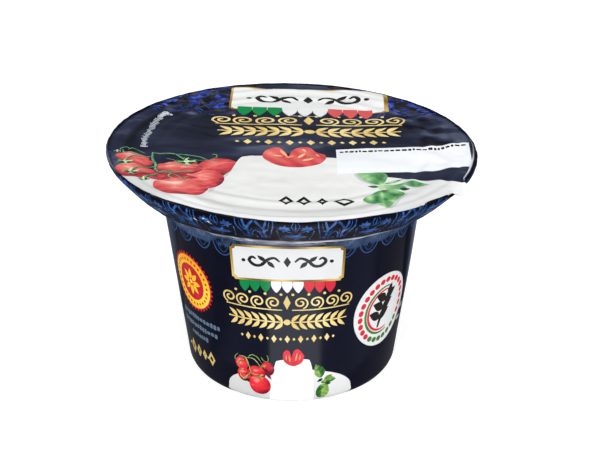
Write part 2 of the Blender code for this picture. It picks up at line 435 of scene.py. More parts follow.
def printed_material(name, tones, roughness=(0.12, 0.22), specular=0.35, mottle=0.2, shaded=True):
    """A glossy print on film, in tones from dark to light, picked by the mesh's shade and a mottle.

    The mottle, the haze of the gloss and the orange-peel relief are laid out in the pack's own
    space, so that they run on from one ink to the next.
    """
    material, tree, shader = new_material(name)
    place = tree.nodes.new("ShaderNodeTexCoord").outputs["Object"]
    level = 0.5 - mottle / 2
    if shaded:
        level = scaled_sum(tree, attribute_value(tree, "shade"), 1.0, -mottle / 2)
    tone = scaled_sum(tree, noise_value(tree, place, 110, 5), mottle, level)
    ramp = add_node(tree, "ValToRGB", {"Fac": tone})
    stops = ramp.color_ramp.elements
    while len(stops) < len(tones):
        stops.new(0.5)
    for index, rgb in enumerate(tones):
        stops[index].position = index / (len(tones) - 1)
        stops[index].color = linear(rgb)
    haze = noise_value(tree, place, 38, 3)
    gloss = add_node(tree, "MapRange", {"Value": haze, "From Min": 0.35, "From Max": 0.65,
                                        "To Min": roughness[0], "To Max": roughness[1]})
    peel = noise_value(tree, place, 700, 2)
    relief = add_node(tree, "Bump", {"Height": peel, "Strength": 0.08, "Distance": 0.00004})
    set_inputs(tree, shader, {"Base Color": ramp.outputs["Color"], "Roughness": gloss.outputs["Result"],
                              "Normal": relief.outputs["Normal"], "Specular IOR Level": specular})
    return material


INKS = {}


def make_inks():
    """The inks, each as tones from dark to light.

    The lid's are duller than the wall's: they are tuned to the light on the lid, with a painted haze of
    reflected light in them.
    """
    tones = {"white": ((196, 198, 197), (222, 223, 223), (238, 239, 239)),
             "cheese": ((214, 214, 206), (240, 240, 236), (250, 250, 247)),
             "shadow": ((176, 178, 180), (212, 214, 214)),
             "red": ((70, 8, 24), (202, 30, 48), (228, 58, 64), (250, 176, 162)),
             "green": ((12, 50, 24), (74, 130, 52), (172, 200, 110)),
             "stem": ((104, 132, 62), (190, 204, 128)),
             "cream": ((232, 150, 104), (246, 206, 150)),
             "gold": ((150, 120, 56), (222, 196, 122), (244, 228, 168)),
             "yellow": ((224, 140, 22), (246, 194, 30), (252, 220, 90)),
             "blue": ((10, 34, 84), (38, 84, 152), (76, 124, 186)),
             "loop": ((16, 42, 78), (36, 70, 116), (52, 92, 142)),
             "dark": ((18, 17, 16), (44, 40, 36)),
             "slate": ((58, 76, 100), (112, 134, 158)),
             "flag_green": ((0, 116, 58), (10, 146, 78)),
             # the lid's copies of the inks, tuned to the light on the lid, with painted haze in their tones
             "lid_white": ((182, 184, 184), (214, 215, 214), (230, 231, 230)),
             "lid_cheese": ((184, 185, 182), (214, 215, 213), (232, 232, 230)),
             "lid_shadow": ((150, 153, 155), (196, 198, 198)),
             "lid_red": ((118, 34, 50), (200, 70, 74), (220, 118, 108), (242, 198, 184)),
             "lid_green": ((6, 54, 32), (98, 160, 100), (196, 222, 176)),
             "lid_stem": ((58, 122, 84), (128, 178, 136)),
             "lid_blue": ((5, 12, 42), (32, 54, 138), (70, 98, 196)),
             "label": ((218, 223, 227), (237, 239, 241)),
             "pale": ((150, 158, 170), (206, 212, 220)),
             "ground": ((2, 2, 7), (28, 30, 44), (64, 64, 80)),
             "brass": ((112, 84, 24), (184, 150, 62), (250, 224, 146)),
             "seam": ((12, 14, 28), (26, 29, 48))}
    for name, steps in tones.items():
        INKS[name] = printed_material(f"{name}_ink", steps)


def on_lid(parts):
    """The same fields in the lid's own duller inks, where it has them; painted haze is in their tones."""
    return [Field(f"lid_{p.ink}" if f"lid_{p.ink}" in INKS else p.ink, p.rings[0], p.shade, p.rings[1:])
            for p in parts]


def pot_material():
    """Milky white moulded plastic with a fine matte grain."""
    tones = ((226, 226, 221), (242, 242, 239))
    return printed_material("white_plastic", tones, (0.34, 0.46), 0.45, 0.5, shaded=False)


# ---------------------------------------------------------------- the films

ANGLES = np.arange(ROUND_STEPS) * 360 / ROUND_STEPS
HERE = np.arange(ROUND_STEPS)                   # a row's columns, and the columns after them
AFTER = (HERE + 1) % ROUND_STEPS


def strip(a, b, roll=0):
    """Quads that close round the axis between two rows, each row given by its first point.

    The roll says by how many corners each quad's own start is moved on.
    """
    return np.roll(np.stack([HERE + a, HERE + b, AFTER + b, AFTER + a], axis=-1), roll, axis=1)


def film_faces(outer_rows, inner_rows):
    """Faces of a film's outside and inside, row by row."""
    base = outer_rows * ROUND_STEPS
    outside = [strip(row * ROUND_STEPS, (row + 1) * ROUND_STEPS) for row in range(outer_rows - 1)]
    inside = [strip(base + row * ROUND_STEPS, base + (row + 1) * ROUND_STEPS)[:, ::-1]
              for row in range(inner_rows - 1)]
    return outside + inside


def lip_start(angle):
    """The run where the sleeve's film starts: below the rim's corner in front, on the lid elsewhere."""
    angle = off_from(0, angle)
    width = 0.10 + 0.95 * bump(angle, 77, 20) + 0.10 * smooth(95, 125, angle) * (1 - smooth(160, 180, angle))
    in_front = 0.05 + 0.25 * bump(angle, 0, 7) - 0.45 * bump(angle, -30, 11) + 0.50 * smooth(22, 38, angle)
    front_share = smooth(-62, -48, angle) * (1 - smooth(40.5, 41.5, angle))
    before_tab = 0.06 + 0.50 * smooth(43, 53, angle)
    behind = np.where((angle > 41) & (angle < 54), before_tab, -np.clip(width, 0.1, 1.5))
    return in_front * front_share + behind * (1 - front_share) - 0.08 * gathers.around(angle, 7.5)


def in_tab(angle):
    """1 where the pull tab crosses the rim; the film runs up to it slowly from the front."""
    off = off_from(TAB_ANGLE, angle)
    half = math.degrees(math.asin((TAB_HALF_WIDTH + 0.35) / RIM_RADIUS))
    past = np.where(off < 0, (-off - half + 0.5) / 3.2, (off - half - 0.6) / 0.7)
    return 1 - smooth(0, 1, past)


LIP_ROWS = 9                                    # rows between the film's wandering start and its even rows
LIP_END = 1.9                                   # run of the first even row
BAND_END = -0.4                                 # run past the crease where the band's own print ends
TUCK_END = 7.6                                  # the same for the dull print under the crease


def make_sleeve_film(material, band_material, tuck_material):
    """The sleeve as a thin film, in one print on the wall and two others on the band and the tuck."""
    start = lip_start(ANGLES) * (1 - in_tab(ANGLES)) + TAB_SLOT * in_tab(ANGLES)
    even = np.concatenate([np.linspace(LIP_END, CREASE_RUN + 8.5, 51),
                           np.linspace(CREASE_RUN + 9.2, RUN_END, 70)])
    runs = [start + (LIP_END - start) * i / LIP_ROWS for i in range(LIP_ROWS)]
    runs += [np.full(ROUND_STEPS, run) for run in even]
    inner = runs[::4] + [runs[-1]]
    points = [sleeve_point(ANGLES, run) for run in runs]
    points += [sleeve_point(ANGLES, run, -FILM) for run in inner]
    base = len(runs) * ROUND_STEPS
    lip = strip(base, 0, -1)
    end = strip(base - ROUND_STEPS, base + (len(inner) - 1) * ROUND_STEPS, 1)
    faces = np.concatenate(film_faces(len(runs), len(inner)) + [lip, end])
    piece = add_object("sleeve_film", np.concatenate(points), faces, material)
    piece.data.materials.append(band_material)
    piece.data.materials.append(tuck_material)
    print_index = np.zeros(len(faces), np.int32)
    tuck_row, wall_row = LIP_ROWS + np.searchsorted(even - CREASE_RUN, (BAND_END, TUCK_END))
    print_index[:tuck_row * ROUND_STEPS] = 1
    print_index[tuck_row * ROUND_STEPS:wall_row * ROUND_STEPS] = 2
    piece.data.polygons.foreach_set("material_index", print_index)
    # painted light: highlights, haze and shade round the crease, and glints on the lip's edge, written as
    # the film's shade
    pale = [sleeve_painted_light(ANGLES, run) for run in runs + inner]
    for row, share in ((0, 1.0), (1, 0.6)):
        pale[row] = np.maximum(pale[row], share * lip_glint(ANGLES))
    pale = np.concatenate(pale)
    give_shade(piece, 0.25 + 0.25 * smooth(0, 0.06, pale) + 0.5 * pale)
    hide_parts("sleeve")


def make_lid_film(material):
    """The lid as a thin film of rings, closed in the middle."""
    turn = np.radians(ANGLES)
    edge = lid_edge(ANGLES)
    shares = np.linspace(0.01, 1.0, 112)

    def ring(share, lift=0.0):
        radius = LID_RADIUS * share + (edge - LID_RADIUS) * np.clip((share - 0.97) / 0.03, 0, 1)
        return lid_point(radius * np.sin(turn), -radius * np.cos(turn), lift)

    under = shares[::6].tolist() + [1.0]
    middle = np.array([lid_point(0, 0), lid_point(0, 0, -FILM)])
    points = np.concatenate([ring(s) for s in shares] + [ring(s, -FILM) for s in under] + [middle])
    base = len(shares) * ROUND_STEPS
    centre = len(points) - 2
    edge_faces = strip(base - ROUND_STEPS, base + (len(under) - 1) * ROUND_STEPS)
    faces = np.concatenate(film_faces(len(shares), len(under)) + [edge_faces]).tolist()
    faces += [(a, b, centre) for a, b in zip(HERE, AFTER)]
    faces += [(b + base, a + base, centre + 1) for a, b in zip(HERE, AFTER)]
    piece = add_object("lid_film", points, faces, material)
    # painted sheen and shade of the lid's film
    give_shade(piece, lid_painted_light(points[:, 0], points[:, 1]))
    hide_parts("lid")


# ---------------------------------------------------------------- flat shapes of the print

class Field:
    """One field of ink: a closed outline with any holes, and how light the ink is at a point."""

    def __init__(self, ink, outline, shade=0.5, holes=()):
        self.ink = ink
        self.rings = [np.asarray(outline, float)] + [np.asarray(h, float) for h in holes]
        self.shade = shade

    def shade_at(self, x, y):
        if callable(self.shade):
            return np.clip(self.shade(x, y), 0, 1)
        return np.full(len(x), float(self.shade))

    def redrawn(self, change):
        """The same field with each of its rings changed."""
        rings = [change(ring) for ring in self.rings]
        return Field(self.ink, rings[0], self.shade, rings[1:])


def ellipse(x, y, rx, ry=None, tilt=0.0, count=40):
    """An ellipse tilted by degrees, or a circle where one radius is given."""
    t = np.linspace(0, 2 * math.pi, count, endpoint=False)
    a, b = rx * np.cos(t), (ry or rx) * np.sin(t)
    c, s = math.cos(math.radians(tilt)), math.sin(math.radians(tilt))
    return np.stack([x + a * c - b * s, y + a * s + b * c], axis=-1)


def curve(points, closed=False, per_span=8):
    """A smooth line through a few points."""
    p = np.asarray(points, float)
    if closed:
        p = np.concatenate([p[-1:], p, p[:2]])
    else:
        p = np.concatenate([2 * p[:1] - p[1:2], p, 2 * p[-1:] - p[-2:-1]])
    t = np.linspace(0, 1, per_span, endpoint=False)[:, None]
    spans = []
    for a, b, c, d in zip(p, p[1:], p[2:], p[3:]):
        spans.append(0.5 * (2 * b + (c - a) * t + (2 * a - 5 * b + 4 * c - d) * t ** 2
                            + (3 * b - a - 3 * c + d) * t ** 3))
    line = np.concatenate(spans)
    return line if closed else np.concatenate([line, p[-2:-1]])


def stroke(path, width, ends=0.3):
    """The outline of a pen stroke along a path: full width midway, narrowing to a share at its ends."""
    path = np.asarray(path, float)
    along = np.gradient(path, axis=0)
    along /= np.linalg.norm(along, axis=1)[:, None]
    side = np.stack([-along[:, 1], along[:, 0]], axis=-1)
    t = np.abs(np.linspace(-1, 1, len(path)))
    half = (width / 2 * (1 - (1 - ends) * t ** 3))[:, None]
    return np.concatenate([path + side * half, (path - side * half)[::-1]])


def brush(points, width, ends=0.3):
    """A pen stroke along a smooth line through a few points."""
    return stroke(curve(points), width, ends)


def lozenge(x, y, width, height):
    """A diamond round a middle point."""
    return np.array([(x - width / 2, y), (x, y - height / 2), (x + width / 2, y), (x, y + height / 2)])


def blade(base, tip, width, bow=0.0, lobes=0):
    """A pointed leaf from its base to its tip, bowed sideways, with any number of lobes a side."""
    base, tip = np.array(base, float), np.array(tip, float)
    along = tip - base
    side = np.array([-along[1], along[0]]) / np.linalg.norm(along)
    t = np.linspace(0, 1, 22 if not lobes else 12 * lobes)[:, None]
    half = width / 2 * np.sin(math.pi * t ** 0.8)
    if lobes:
        half = half * (0.72 + 0.38 * np.abs(np.sin(math.pi * lobes * t)))
    middle = base + along * t + side * bow * np.sin(math.pi * t)
    return np.concatenate([middle + side * half, (middle - side * half)[-2:0:-1]])


def moved(ring, x=0.0, y=0.0, wide=1.0, high=1.0, turn=0.0):
    """A ring scaled, turned by degrees and then shifted."""
    ring = np.asarray(ring, float) * (wide, high)
    a = math.radians(turn)
    spin = np.array([(math.cos(a), math.sin(a)), (-math.sin(a), math.cos(a))])
    return ring @ spin + (x, y)


def both_sides(rings):
    """The rings and their mirror images about the line x = 0."""
    return list(rings) + [np.asarray(r)[::-1] * (-1, 1) for r in rings]


def fields(ink, rings, shade=0.5):
    return [Field(ink, ring, shade) for ring in rings]


def placed(parts, **move):
    """Fields moved as rings are. A shade that is a function isn't moved with them."""
    return [part.redrawn(lambda ring: moved(ring, **move)) for part in parts]


# ---------------------------------------------------------------- from flat shapes to skins of ink

def resampled(ring, step):
    """A ring with points at most a step apart."""
    made = []
    for a, b in zip(ring, np.roll(ring, -1, axis=0)):
        count = max(1, int(math.ceil(np.linalg.norm(b - a) / step)))
        made.append(a + (b - a) * np.arange(count)[:, None] / count)
    return np.concatenate(made)


def winding(points, ring):
    """How many times a ring runs round each point."""
    count = np.zeros(len(points), int)
    low, high = ring.min(0), ring.max(0)
    near = np.nonzero(((points >= low) & (points <= high)).all(1))[0]
    x, y = points[near, 0], points[near, 1]
    for (x0, y0), (x1, y1) in zip(ring, np.roll(ring, -1, axis=0)):
        left = (x1 - x0) * (y - y0) - (x - x0) * (y1 - y0)
        count[near] += ((y0 <= y) & (y1 > y) & (left > 0)).astype(int)
        count[near] -= ((y0 > y) & (y1 <= y) & (left < 0)).astype(int)
    return count


def covers(field, points):
    """Which points lie in a field and not in its holes."""
    inside = winding(points, field.rings[0]) != 0
    for hole in field.rings[1:]:
        inside &= winding(points, hole) == 0
    return inside


def triangulated(parts, step, clip=None):
    """Splits a print into triangles, and says which field lies on top in each."""
    ring_step = step * 0.8
    row_step = step * 0.866                     # rows of even-sided triangles
    clear_step = step * 0.5                     # how far the points inside stay from the rings
    rings = [resampled(r, ring_step) for part in parts for r in part.rings]
    if clip is not None:
        rings.append(resampled(clip, ring_step))
    border = np.concatenate(rings)
    low, high = border.min(0), border.max(0)
    rows = np.arange(low[1], high[1], row_step)
    columns = np.arange(low[0], high[0], step)
    x, y = np.meshgrid(columns, rows)
    x = x + (np.arange(len(rows)) % 2)[:, None] * step / 2
    inner = np.stack([x.ravel(), y.ravel()], axis=-1)
    wanted = np.zeros(len(inner), bool)
    for part in parts:
        wanted |= covers(part, inner)
    if clip is not None:
        wanted &= winding(inner, clip) != 0
    inner = inner[wanted]
    clear = np.ones(len(inner), bool)
    for start in range(0, len(border), 400):
        gap = inner[:, None, :] - border[None, start:start + 400, :]
        clear &= ((gap ** 2).sum(-1) > clear_step ** 2).all(1)
    inner = inner[clear]
    edges = []
    first = 0
    for ring in rings:
        count = len(ring)
        edges += [(first + i, first + (i + 1) % count) for i in range(count)]
        first += count
    points = [Vector(p) for p in np.concatenate([border, inner]).tolist()]
    found = delaunay_2d_cdt(points, edges, [], 0, 1e-4)
    corners = np.array([tuple(p) for p in found[0]])
    triangles = np.array([f for f in found[2] if len(f) == 3])
    middle = corners[triangles].mean(1)
    owner = np.full(len(triangles), -1)
    for index, part in enumerate(parts):
        owner[covers(part, middle)] = index
    if clip is not None:
        owner[winding(middle, clip) == 0] = -1
    return corners, triangles[owner >= 0], owner[owner >= 0]


def skin(corners, triangles, shades, place, lift, sink):
    """Points, faces and corner shades of a closed skin over flat triangles."""
    used, compact = np.unique(triangles, return_inverse=True)
    triangles = compact.reshape(-1, 3)
    x, y = corners[used, 0], corners[used, 1]
    points = np.concatenate([place(x, y, lift), place(x, y, -sink)])
    count = len(used)
    sides = np.concatenate([triangles[:, [0, 1]], triangles[:, [1, 2]], triangles[:, [2, 0]]])
    side_shades = np.concatenate([shades[:, [0, 1]], shades[:, [1, 2]], shades[:, [2, 0]]])
    known = set(map(tuple, sides.tolist()))
    open_side = np.array([(b, a) not in known for a, b in sides.tolist()])
    a, b = sides[open_side].T
    walls = np.stack([b, a, a + count, b + count], axis=-1)
    sa, sb = side_shades[open_side].T
    faces = triangles.tolist() + (triangles[:, ::-1] + count).tolist() + walls.tolist()
    tones = [shades.ravel(), shades[:, ::-1].ravel(), np.stack([sb, sa, sa, sb], axis=-1).ravel()]
    return points, faces, np.concatenate(tones)


def print_on(name, parts, places, slot, step=0.8, lift=0.05, sink=0.04, clip=None):
    """Lays fields of ink on a film. Each ink becomes one piece, with a copy for every place."""
    corners, triangles, owner = triangulated(parts, step, clip)
    turn = np.cross(corners[triangles[:, 1]] - corners[triangles[:, 0]],
                    corners[triangles[:, 2]] - corners[triangles[:, 0]])
    triangles[turn < 0] = triangles[turn < 0][:, ::-1]
    shades = np.zeros(triangles.shape)
    for index, part in enumerate(parts):
        mine = owner == index
        x, y = corners[triangles[mine]].reshape(-1, 2).T
        shades[mine] = part.shade_at(x, y).reshape(-1, 3)
    for ink in dict.fromkeys(part.ink for part in parts):
        own = np.isin(owner, [i for i, part in enumerate(parts) if part.ink == ink])
        if not own.any():
            continue
        points, faces, tones = [], [], []
        for place in places:
            first = sum(len(p) for p in points)
            p, f, t = skin(corners, triangles[own], shades[own], place, lift, sink)
            points.append(p)
            faces += [[i + first for i in face] for face in f]
            tones.append(t)
        piece = add_object(f"{name}_{ink}", np.concatenate(points), faces, INKS[ink])
        layer = piece.data.attributes.new("shade", "FLOAT", "CORNER")
        layer.data.foreach_set("value", np.concatenate(tones).astype(np.float32))


# ---------------------------------------------------------------- how shapes are shaded

def worn(middle, swing, scale):
    """Ink that the shrinking and the printing left uneven."""
    def shade(x, y):
        broad = lid_folds(x * scale * 0.6 + 13, y * scale * 0.9 + 13)
        return middle + swing * (0.6 * broad + 0.6 * lid_grain(x * scale * 1.7 + 17, y * scale * 2.1 + 17))
    return shade


def with_painted_glare(under, amount=0.15):
    """Another shading, under painted highlights: pale streaks of glare that the film's creases lay over it.
    """
    def shade(x, y):
        lines = lid_grain(x * 0.50 + y * 0.40 + 3, y * 1.7 - x * 0.30 + 7)
        fine = lid_folds(x * 1.1 + 5, y * 2.6 + x * 0.4 + 5)
        return under(x, y) + amount * (lines + 0.5 * fine) + 0.9 * amount * smooth(0.35, 0.8, lines)
    return shade


def ball(x0, y0, rx, ry, level=0.0, gleam=0.42):
    """Shading of a round fruit, lit from the upper left, with a soft gleam."""
    def shade(x, y):
        u, v = (x - x0) / rx, (y - y0) / ry
        body = 0.58 - 0.34 * (u * u + v * v) - 0.12 * u + 0.20 * v
        spot = gleam * np.exp(-((u + 0.30) ** 2 + (v - 0.38) ** 2) / 0.10)
        return body + spot + level
    return shade


def along_leaf(base, tip, width):
    """Shading of a leaf: a pale midrib, side veins and one half lighter than the other."""
    base, tip = np.array(base, float), np.array(tip, float)
    length = np.linalg.norm(tip - base)
    axis = (tip - base) / length

    def shade(x, y):
        along = ((x - base[0]) * axis[0] + (y - base[1]) * axis[1]) / length
        across = ((y - base[1]) * axis[0] - (x - base[0]) * axis[1]) / (width / 2)
        veins = np.sin(along * 20 - np.abs(across) * 5)
        rib = np.exp(-(across / 0.12) ** 2)
        half = 0.24 * np.sign(across) * (1 - np.exp(-(across / 0.2) ** 2))
        return 0.44 + half + 0.15 * veins + 0.38 * rib
    return shade


def sheen(pitch, angle=0.0, middle=0.5, swing=0.35):
    """Painted sheen: the slow light and dark of metallic ink, in bands at an angle."""
    a = math.radians(angle)

    def shade(x, y):
        return middle + swing * np.sin((x * math.cos(a) + y * math.sin(a)) * 2 * math.pi / pitch)
    return shade


# ---------------------------------------------------------------- the artwork, in millimetres

def leaf(base, tip, width, bow=0.0):
    return Field("green", blade(base, tip, width, bow), along_leaf(base, tip, width))


def fruit(x, y, rx, ry=None, level=0.0):
    """One round red fruit, darker where its level is below 0."""
    return Field("red", ellipse(x, y, rx, ry), with_painted_glare(ball(x, y, rx, ry or rx, level, 0.24)))


def sprout(x, y, size, spread=(200, 250, 300, 340, 20)):
    """The little star of leaves where a fruit meets its stem."""
    made = []
    for turn, angle in enumerate(spread):
        a = math.radians(angle)
        tip = (x + size * math.cos(a), y + size * math.sin(a))
        bow = size * 0.16 * (-1) ** turn
        made.append(Field("green", blade((x, y), tip, size * 0.24, bow), 0.45 + 0.1 * turn))
    return made


def calyx(x, y, size):
    """A fruit's green top: its shadow, a star of leaves and a pale middle."""
    under = ellipse(x + 0.1 * size, y - 0.15 * size, size * 0.85, size * 0.42, count=20)
    leaves = sprout(x, y, size, (160, 205, 255, 300, 345, 25, 80))
    middle = ellipse(x, y + 0.05 * size, size * 0.30, size * 0.26, count=14)
    return [Field("green", under, 0.02)] + leaves + [Field("green", middle, 0.95)]


def strands(share, routes):
    """Thin stems, each over its own shadow. A route comes with its width, which a share scales."""
    made = []
    for width, route in routes:
        width = width * share
        shadow = np.asarray(route) + (0.5 * width, -0.6 * width)
        made.append(Field("green", brush(shadow, width, 0.5), 0.04))
        made.append(Field("stem", brush(route, width, 0.5), worn(0.5, 0.6, 1.2)))
    return made


def wave_scroll(x, y, radius, flip):
    """One curling wave of a running scroll."""
    t = np.linspace(0, 1, 44)
    angle = np.radians(250 - 530 * t)
    reach = radius * (1 - 0.80 * t)
    path = np.stack([np.cos(angle), np.sin(angle)], axis=-1) * reach[:, None] * (flip, 1) + (x, y)
    return stroke(path, 0.44, 0.75)


def title_rows():
    """Three rows of gold ornament: a running scroll, a laurel and a line of lozenges."""
    shade = sheen(13, 20, 0.56, 0.14)
    rings = []
    for x in (3.3, 7.1, 10.9, 14.5):
        for flip in (-1, 1):
            rings.append(wave_scroll(x * flip, 31.6, 1.85, -flip))
        rings += both_sides([ellipse(x - 1.9, 34.1, 0.36, count=14)])
    rings += [lozenge(0, 31.7, 1.7, 4.2)]
    rings += both_sides([stroke([(1.2, 29.45), (8, 29.45), (15.6, 29.45)], 0.34, 0.8)])
    for i in range(7):
        x = 1.1 + 1.95 * i
        rings += both_sides([blade((x, 25.9), (x + 2.1, 28.1), 1.0, 0.2)])
        rings += both_sides([blade((x, 25.7), (x + 2.1, 23.5), 1.0, -0.2)])
    rings += both_sides([stroke([(0.6, 25.8), (8, 25.8), (15.2, 25.8)], 0.38, 0.8)])
    rings += [ellipse(0, 25.8, 0.85, count=20)]
    for i in range(-7, 8):
        big = i % 2 == 0
        rings.append(lozenge(i * 1.70, 20.6, 1.35 if big else 0.75, 2.3 if big else 0.95))
    return fields("gold", rings, shade)


def ticket(width, height, notch, count=8):
    """A panel whose corners are hollowed by quarter rounds."""
    made = []
    for sx, sy, start in ((1, -1, 180), (1, 1, 270), (-1, 1, 360), (-1, -1, 90)):
        angle = np.radians(np.linspace(start, start - 90, count))
        corner = np.array((sx * width / 2, sy * height / 2))
        made.append(corner + notch * np.stack([np.cos(angle), np.sin(angle)], axis=-1))
    return np.concatenate(made)


def panel(width, height, tone, notch=0.75):
    """A bare white panel with a thin gold edge and a dark flourish."""
    made = [Field("brass", ticket(width, height, notch), sheen(width * 0.42, 25, 0.38, 0.36))]
    made += [Field("white", ticket(width - 1.25, height - 1.15, notch), tone)]
    path = curve([(1.7, 0.2), (2.9, 1.3), (4.5, 0.7), (6.0, -0.9), (7.6, -0.9), (8.7, 0.4), (8.0, 1.4),
                  (7.1, 0.9)])
    rings = both_sides([stroke(path, 0.85, 0.5)])
    rings += both_sides([blade((4.9, 0.3), (6.8, 1.9), 1.1), blade((4.5, 0.3), (2.8, -1.7), 1.1)])
    rings += both_sides([ellipse(10.1, 0.3, 0.5, count=14)])
    rings += [lozenge(0, 0.2, 1.7, 3.2)]
    wide, high = width / 26.7, height / 10.4
    made += fields("dark", [moved(r, y=0.5, wide=wide, high=high) for r in rings])
    return made


def bowed(parts, rise, half):
    """Fields lifted in the middle, as the film shrank less there; nothing is lifted at x = half."""
    def lifted(ring):
        ring = resampled(ring, 1.0)
        return ring + np.stack([0 * ring[:, 0], rise * (1 - (ring[:, 0] / half) ** 2)], axis=-1)
    return [part.redrawn(lifted) for part in parts]


def valance(width, drop):
    """A row of hanging petals: green, then white, then red."""
    made = []
    inks = ("flag_green",) * 3 + ("white",) * 3 + ("red",) * 3
    pitch = width / len(inks)
    half = pitch * 0.47
    for i, ink in enumerate(inks):
        x = (i - 4) * pitch
        petal = curve([(x - half, 0.35), (x - half, -drop * 0.4), (x - half * 0.5, -drop * 0.8), (x, -drop),
                       (x + half * 0.5, -drop * 0.8), (x + half, -drop * 0.4), (x + half, 0.35)])
        made.append(Field(ink, petal, 0.75 if ink == "white" else 0.4))
    return made


def seal():
    """A yellow rosette with a toothed red edge, red beads and a flower."""
    teeth = 36
    t = np.linspace(0, 2 * math.pi, teeth * 2, endpoint=False)
    reach = np.where(np.arange(teeth * 2) % 2 == 0, 8.6, 7.7)
    made = [Field("red", np.stack([reach * np.cos(t), reach * np.sin(t)], axis=-1), 0.34)]
    made += [Field("yellow", ellipse(0, 0, 7.6, count=60), sheen(22, 70, 0.42, 0.3))]
    beads = [ellipse(6.4 * math.cos(a), 6.4 * math.sin(a), 0.42, count=10)
             for a in np.linspace(0, 2 * math.pi, 28, endpoint=False)]
    made += fields("red", beads, 0.34)
    made += [Field("red", ellipse(0, 0, 5.2), lambda x, y: 0.27 + 0.05 * lid_grain(x * 1.3, y * 1.3))]
    for angle in range(0, 360, 45):
        a = math.radians(angle)
        near, far = (0.9 * math.cos(a), 0.9 * math.sin(a)), (3.9 * math.cos(a), 3.9 * math.sin(a))
        made.append(Field("yellow", blade(near, far, 1.4), 0.45))
    made += [Field("yellow", ellipse(0, 0, 0.62), 0.8)]
    return made


def medallion():
    """A white oval with a beaded rim of red and green, two thin arcs and a dark sprig."""
    made = [Field("white", ellipse(0, 0, 10.1, 10.9, 25, count=72), 0.45)]
    count = 26
    for i in range(count):
        a = math.radians(i * 360 / count + 115)
        bead = moved(ellipse(0, 0, 0.90, 0.80, count=14), x=8.2 * math.cos(a), y=8.8 * math.sin(a),
                     turn=math.degrees(a) + 90)
        made.append(Field("green" if 9 <= i <= 15 else "red", bead, 0.38))
    for ink, reach in (("green", 6.5), ("red", 5.6)):
        turns = np.radians(np.linspace(75, 290, 30))
        arc = np.stack([reach * np.cos(turns), reach * 1.06 * np.sin(turns)], axis=-1)
        made.append(Field(ink, stroke(arc, 0.75, 0.5), 0.4))
    made += [Field("dark", brush([(-1.6, -5.0), (-0.7, -1.8), (0.6, 1.6), (1.6, 5.0)], 1.2, 0.5))]
    for side, y in ((-1, -2.4), (1, -2.6), (-1, 0.2), (1, 0.0), (-1, 2.6), (1, 2.6)):
        base = (-0.9 + 0.38 * (y + 1), y)
        made.append(Field("dark", blade(base, (base[0] + side * 3.8, y + 2.6), 2.6, side * 0.3)))
    made += [Field("dark", blade((1.4, 4.2), (2.4, 7.2), 1.8))]
    return made


def small_rows(rows, left, top, pitch, seed, ink):
    """Short dashes in rows, where a pack has its small print."""
    draw = np.random.default_rng(seed)
    rings = []
    for i, (start, end) in enumerate(rows):
        x = left + start
        while x < left + end:
            length = draw.uniform(0.5, 1.3)
            y = top - i * pitch + draw.uniform(-0.12, 0.12)
            path = [(x, y), (x + length / 2, y), (x + length, y)]
            rings.append(stroke(path, draw.uniform(0.95, 1.6), 0.8))
            x += length + 0.32
    return fields(ink, rings)


def small_marks():
    """Hollow lozenges in gold, where a pack states its contents."""
    made = []
    for x, width, height in ((-3.3, 2.8, 4.6), (0.0, 2.4, 3.9), (2.9, 2.0, 3.1), (6.0, 2.9, 4.4)):
        hole = lozenge(x, 0, width - 1.5, height - 2.4)
        made.append(Field("gold", lozenge(x, 0, width, height), 0.35, [hole]))
    return made + fields("gold", [ellipse(-5.6, 0, 0.4, count=12), ellipse(4.4, -0.3, 0.3, count=12)], 0.4)


def wall_dish():
    """The wall's white dish with its mound of cheese."""
    dish = curve([(-18.9, 3.2), (-18.0, 5.6), (-15.6, 7.5), (-11, 9.6), (0, 11.6), (8.7, 9.9), (13.4, 8.0),
                  (16.4, 5.6), (17.4, 3.4), (16.9, 0.9), (9, -0.4), (0, -0.6), (-9, -0.4), (-18.2, 0.9)],
                 closed=True)
    mound = curve([(-6.6, -0.4), (-6.1, 3.0), (-5.2, 8.6), (-4.5, 12.6), (-3.7, 13.8), (0, 14.3),
                   (3.9, 14.2), (4.8, 13.4), (5.5, 10.4), (6.0, 4.0), (6.2, -0.4)])

    def dish_shade(x, y):
        return 0.06 + 0.045 * y + 0.010 * np.abs(x) - 0.3 * smooth(-5, -12, x)

    def mound_shade(x, y):
        return 0.9 - 0.03 * np.clip(3 - y, 0, 3)

    shadow = brush([(-17.6, 1.6), (-13, 0.9), (-7, 0.55)], 0.5, 0.2)
    return [Field("white", dish, dish_shade), Field("shadow", shadow), Field("cheese", mound, mound_shade)]


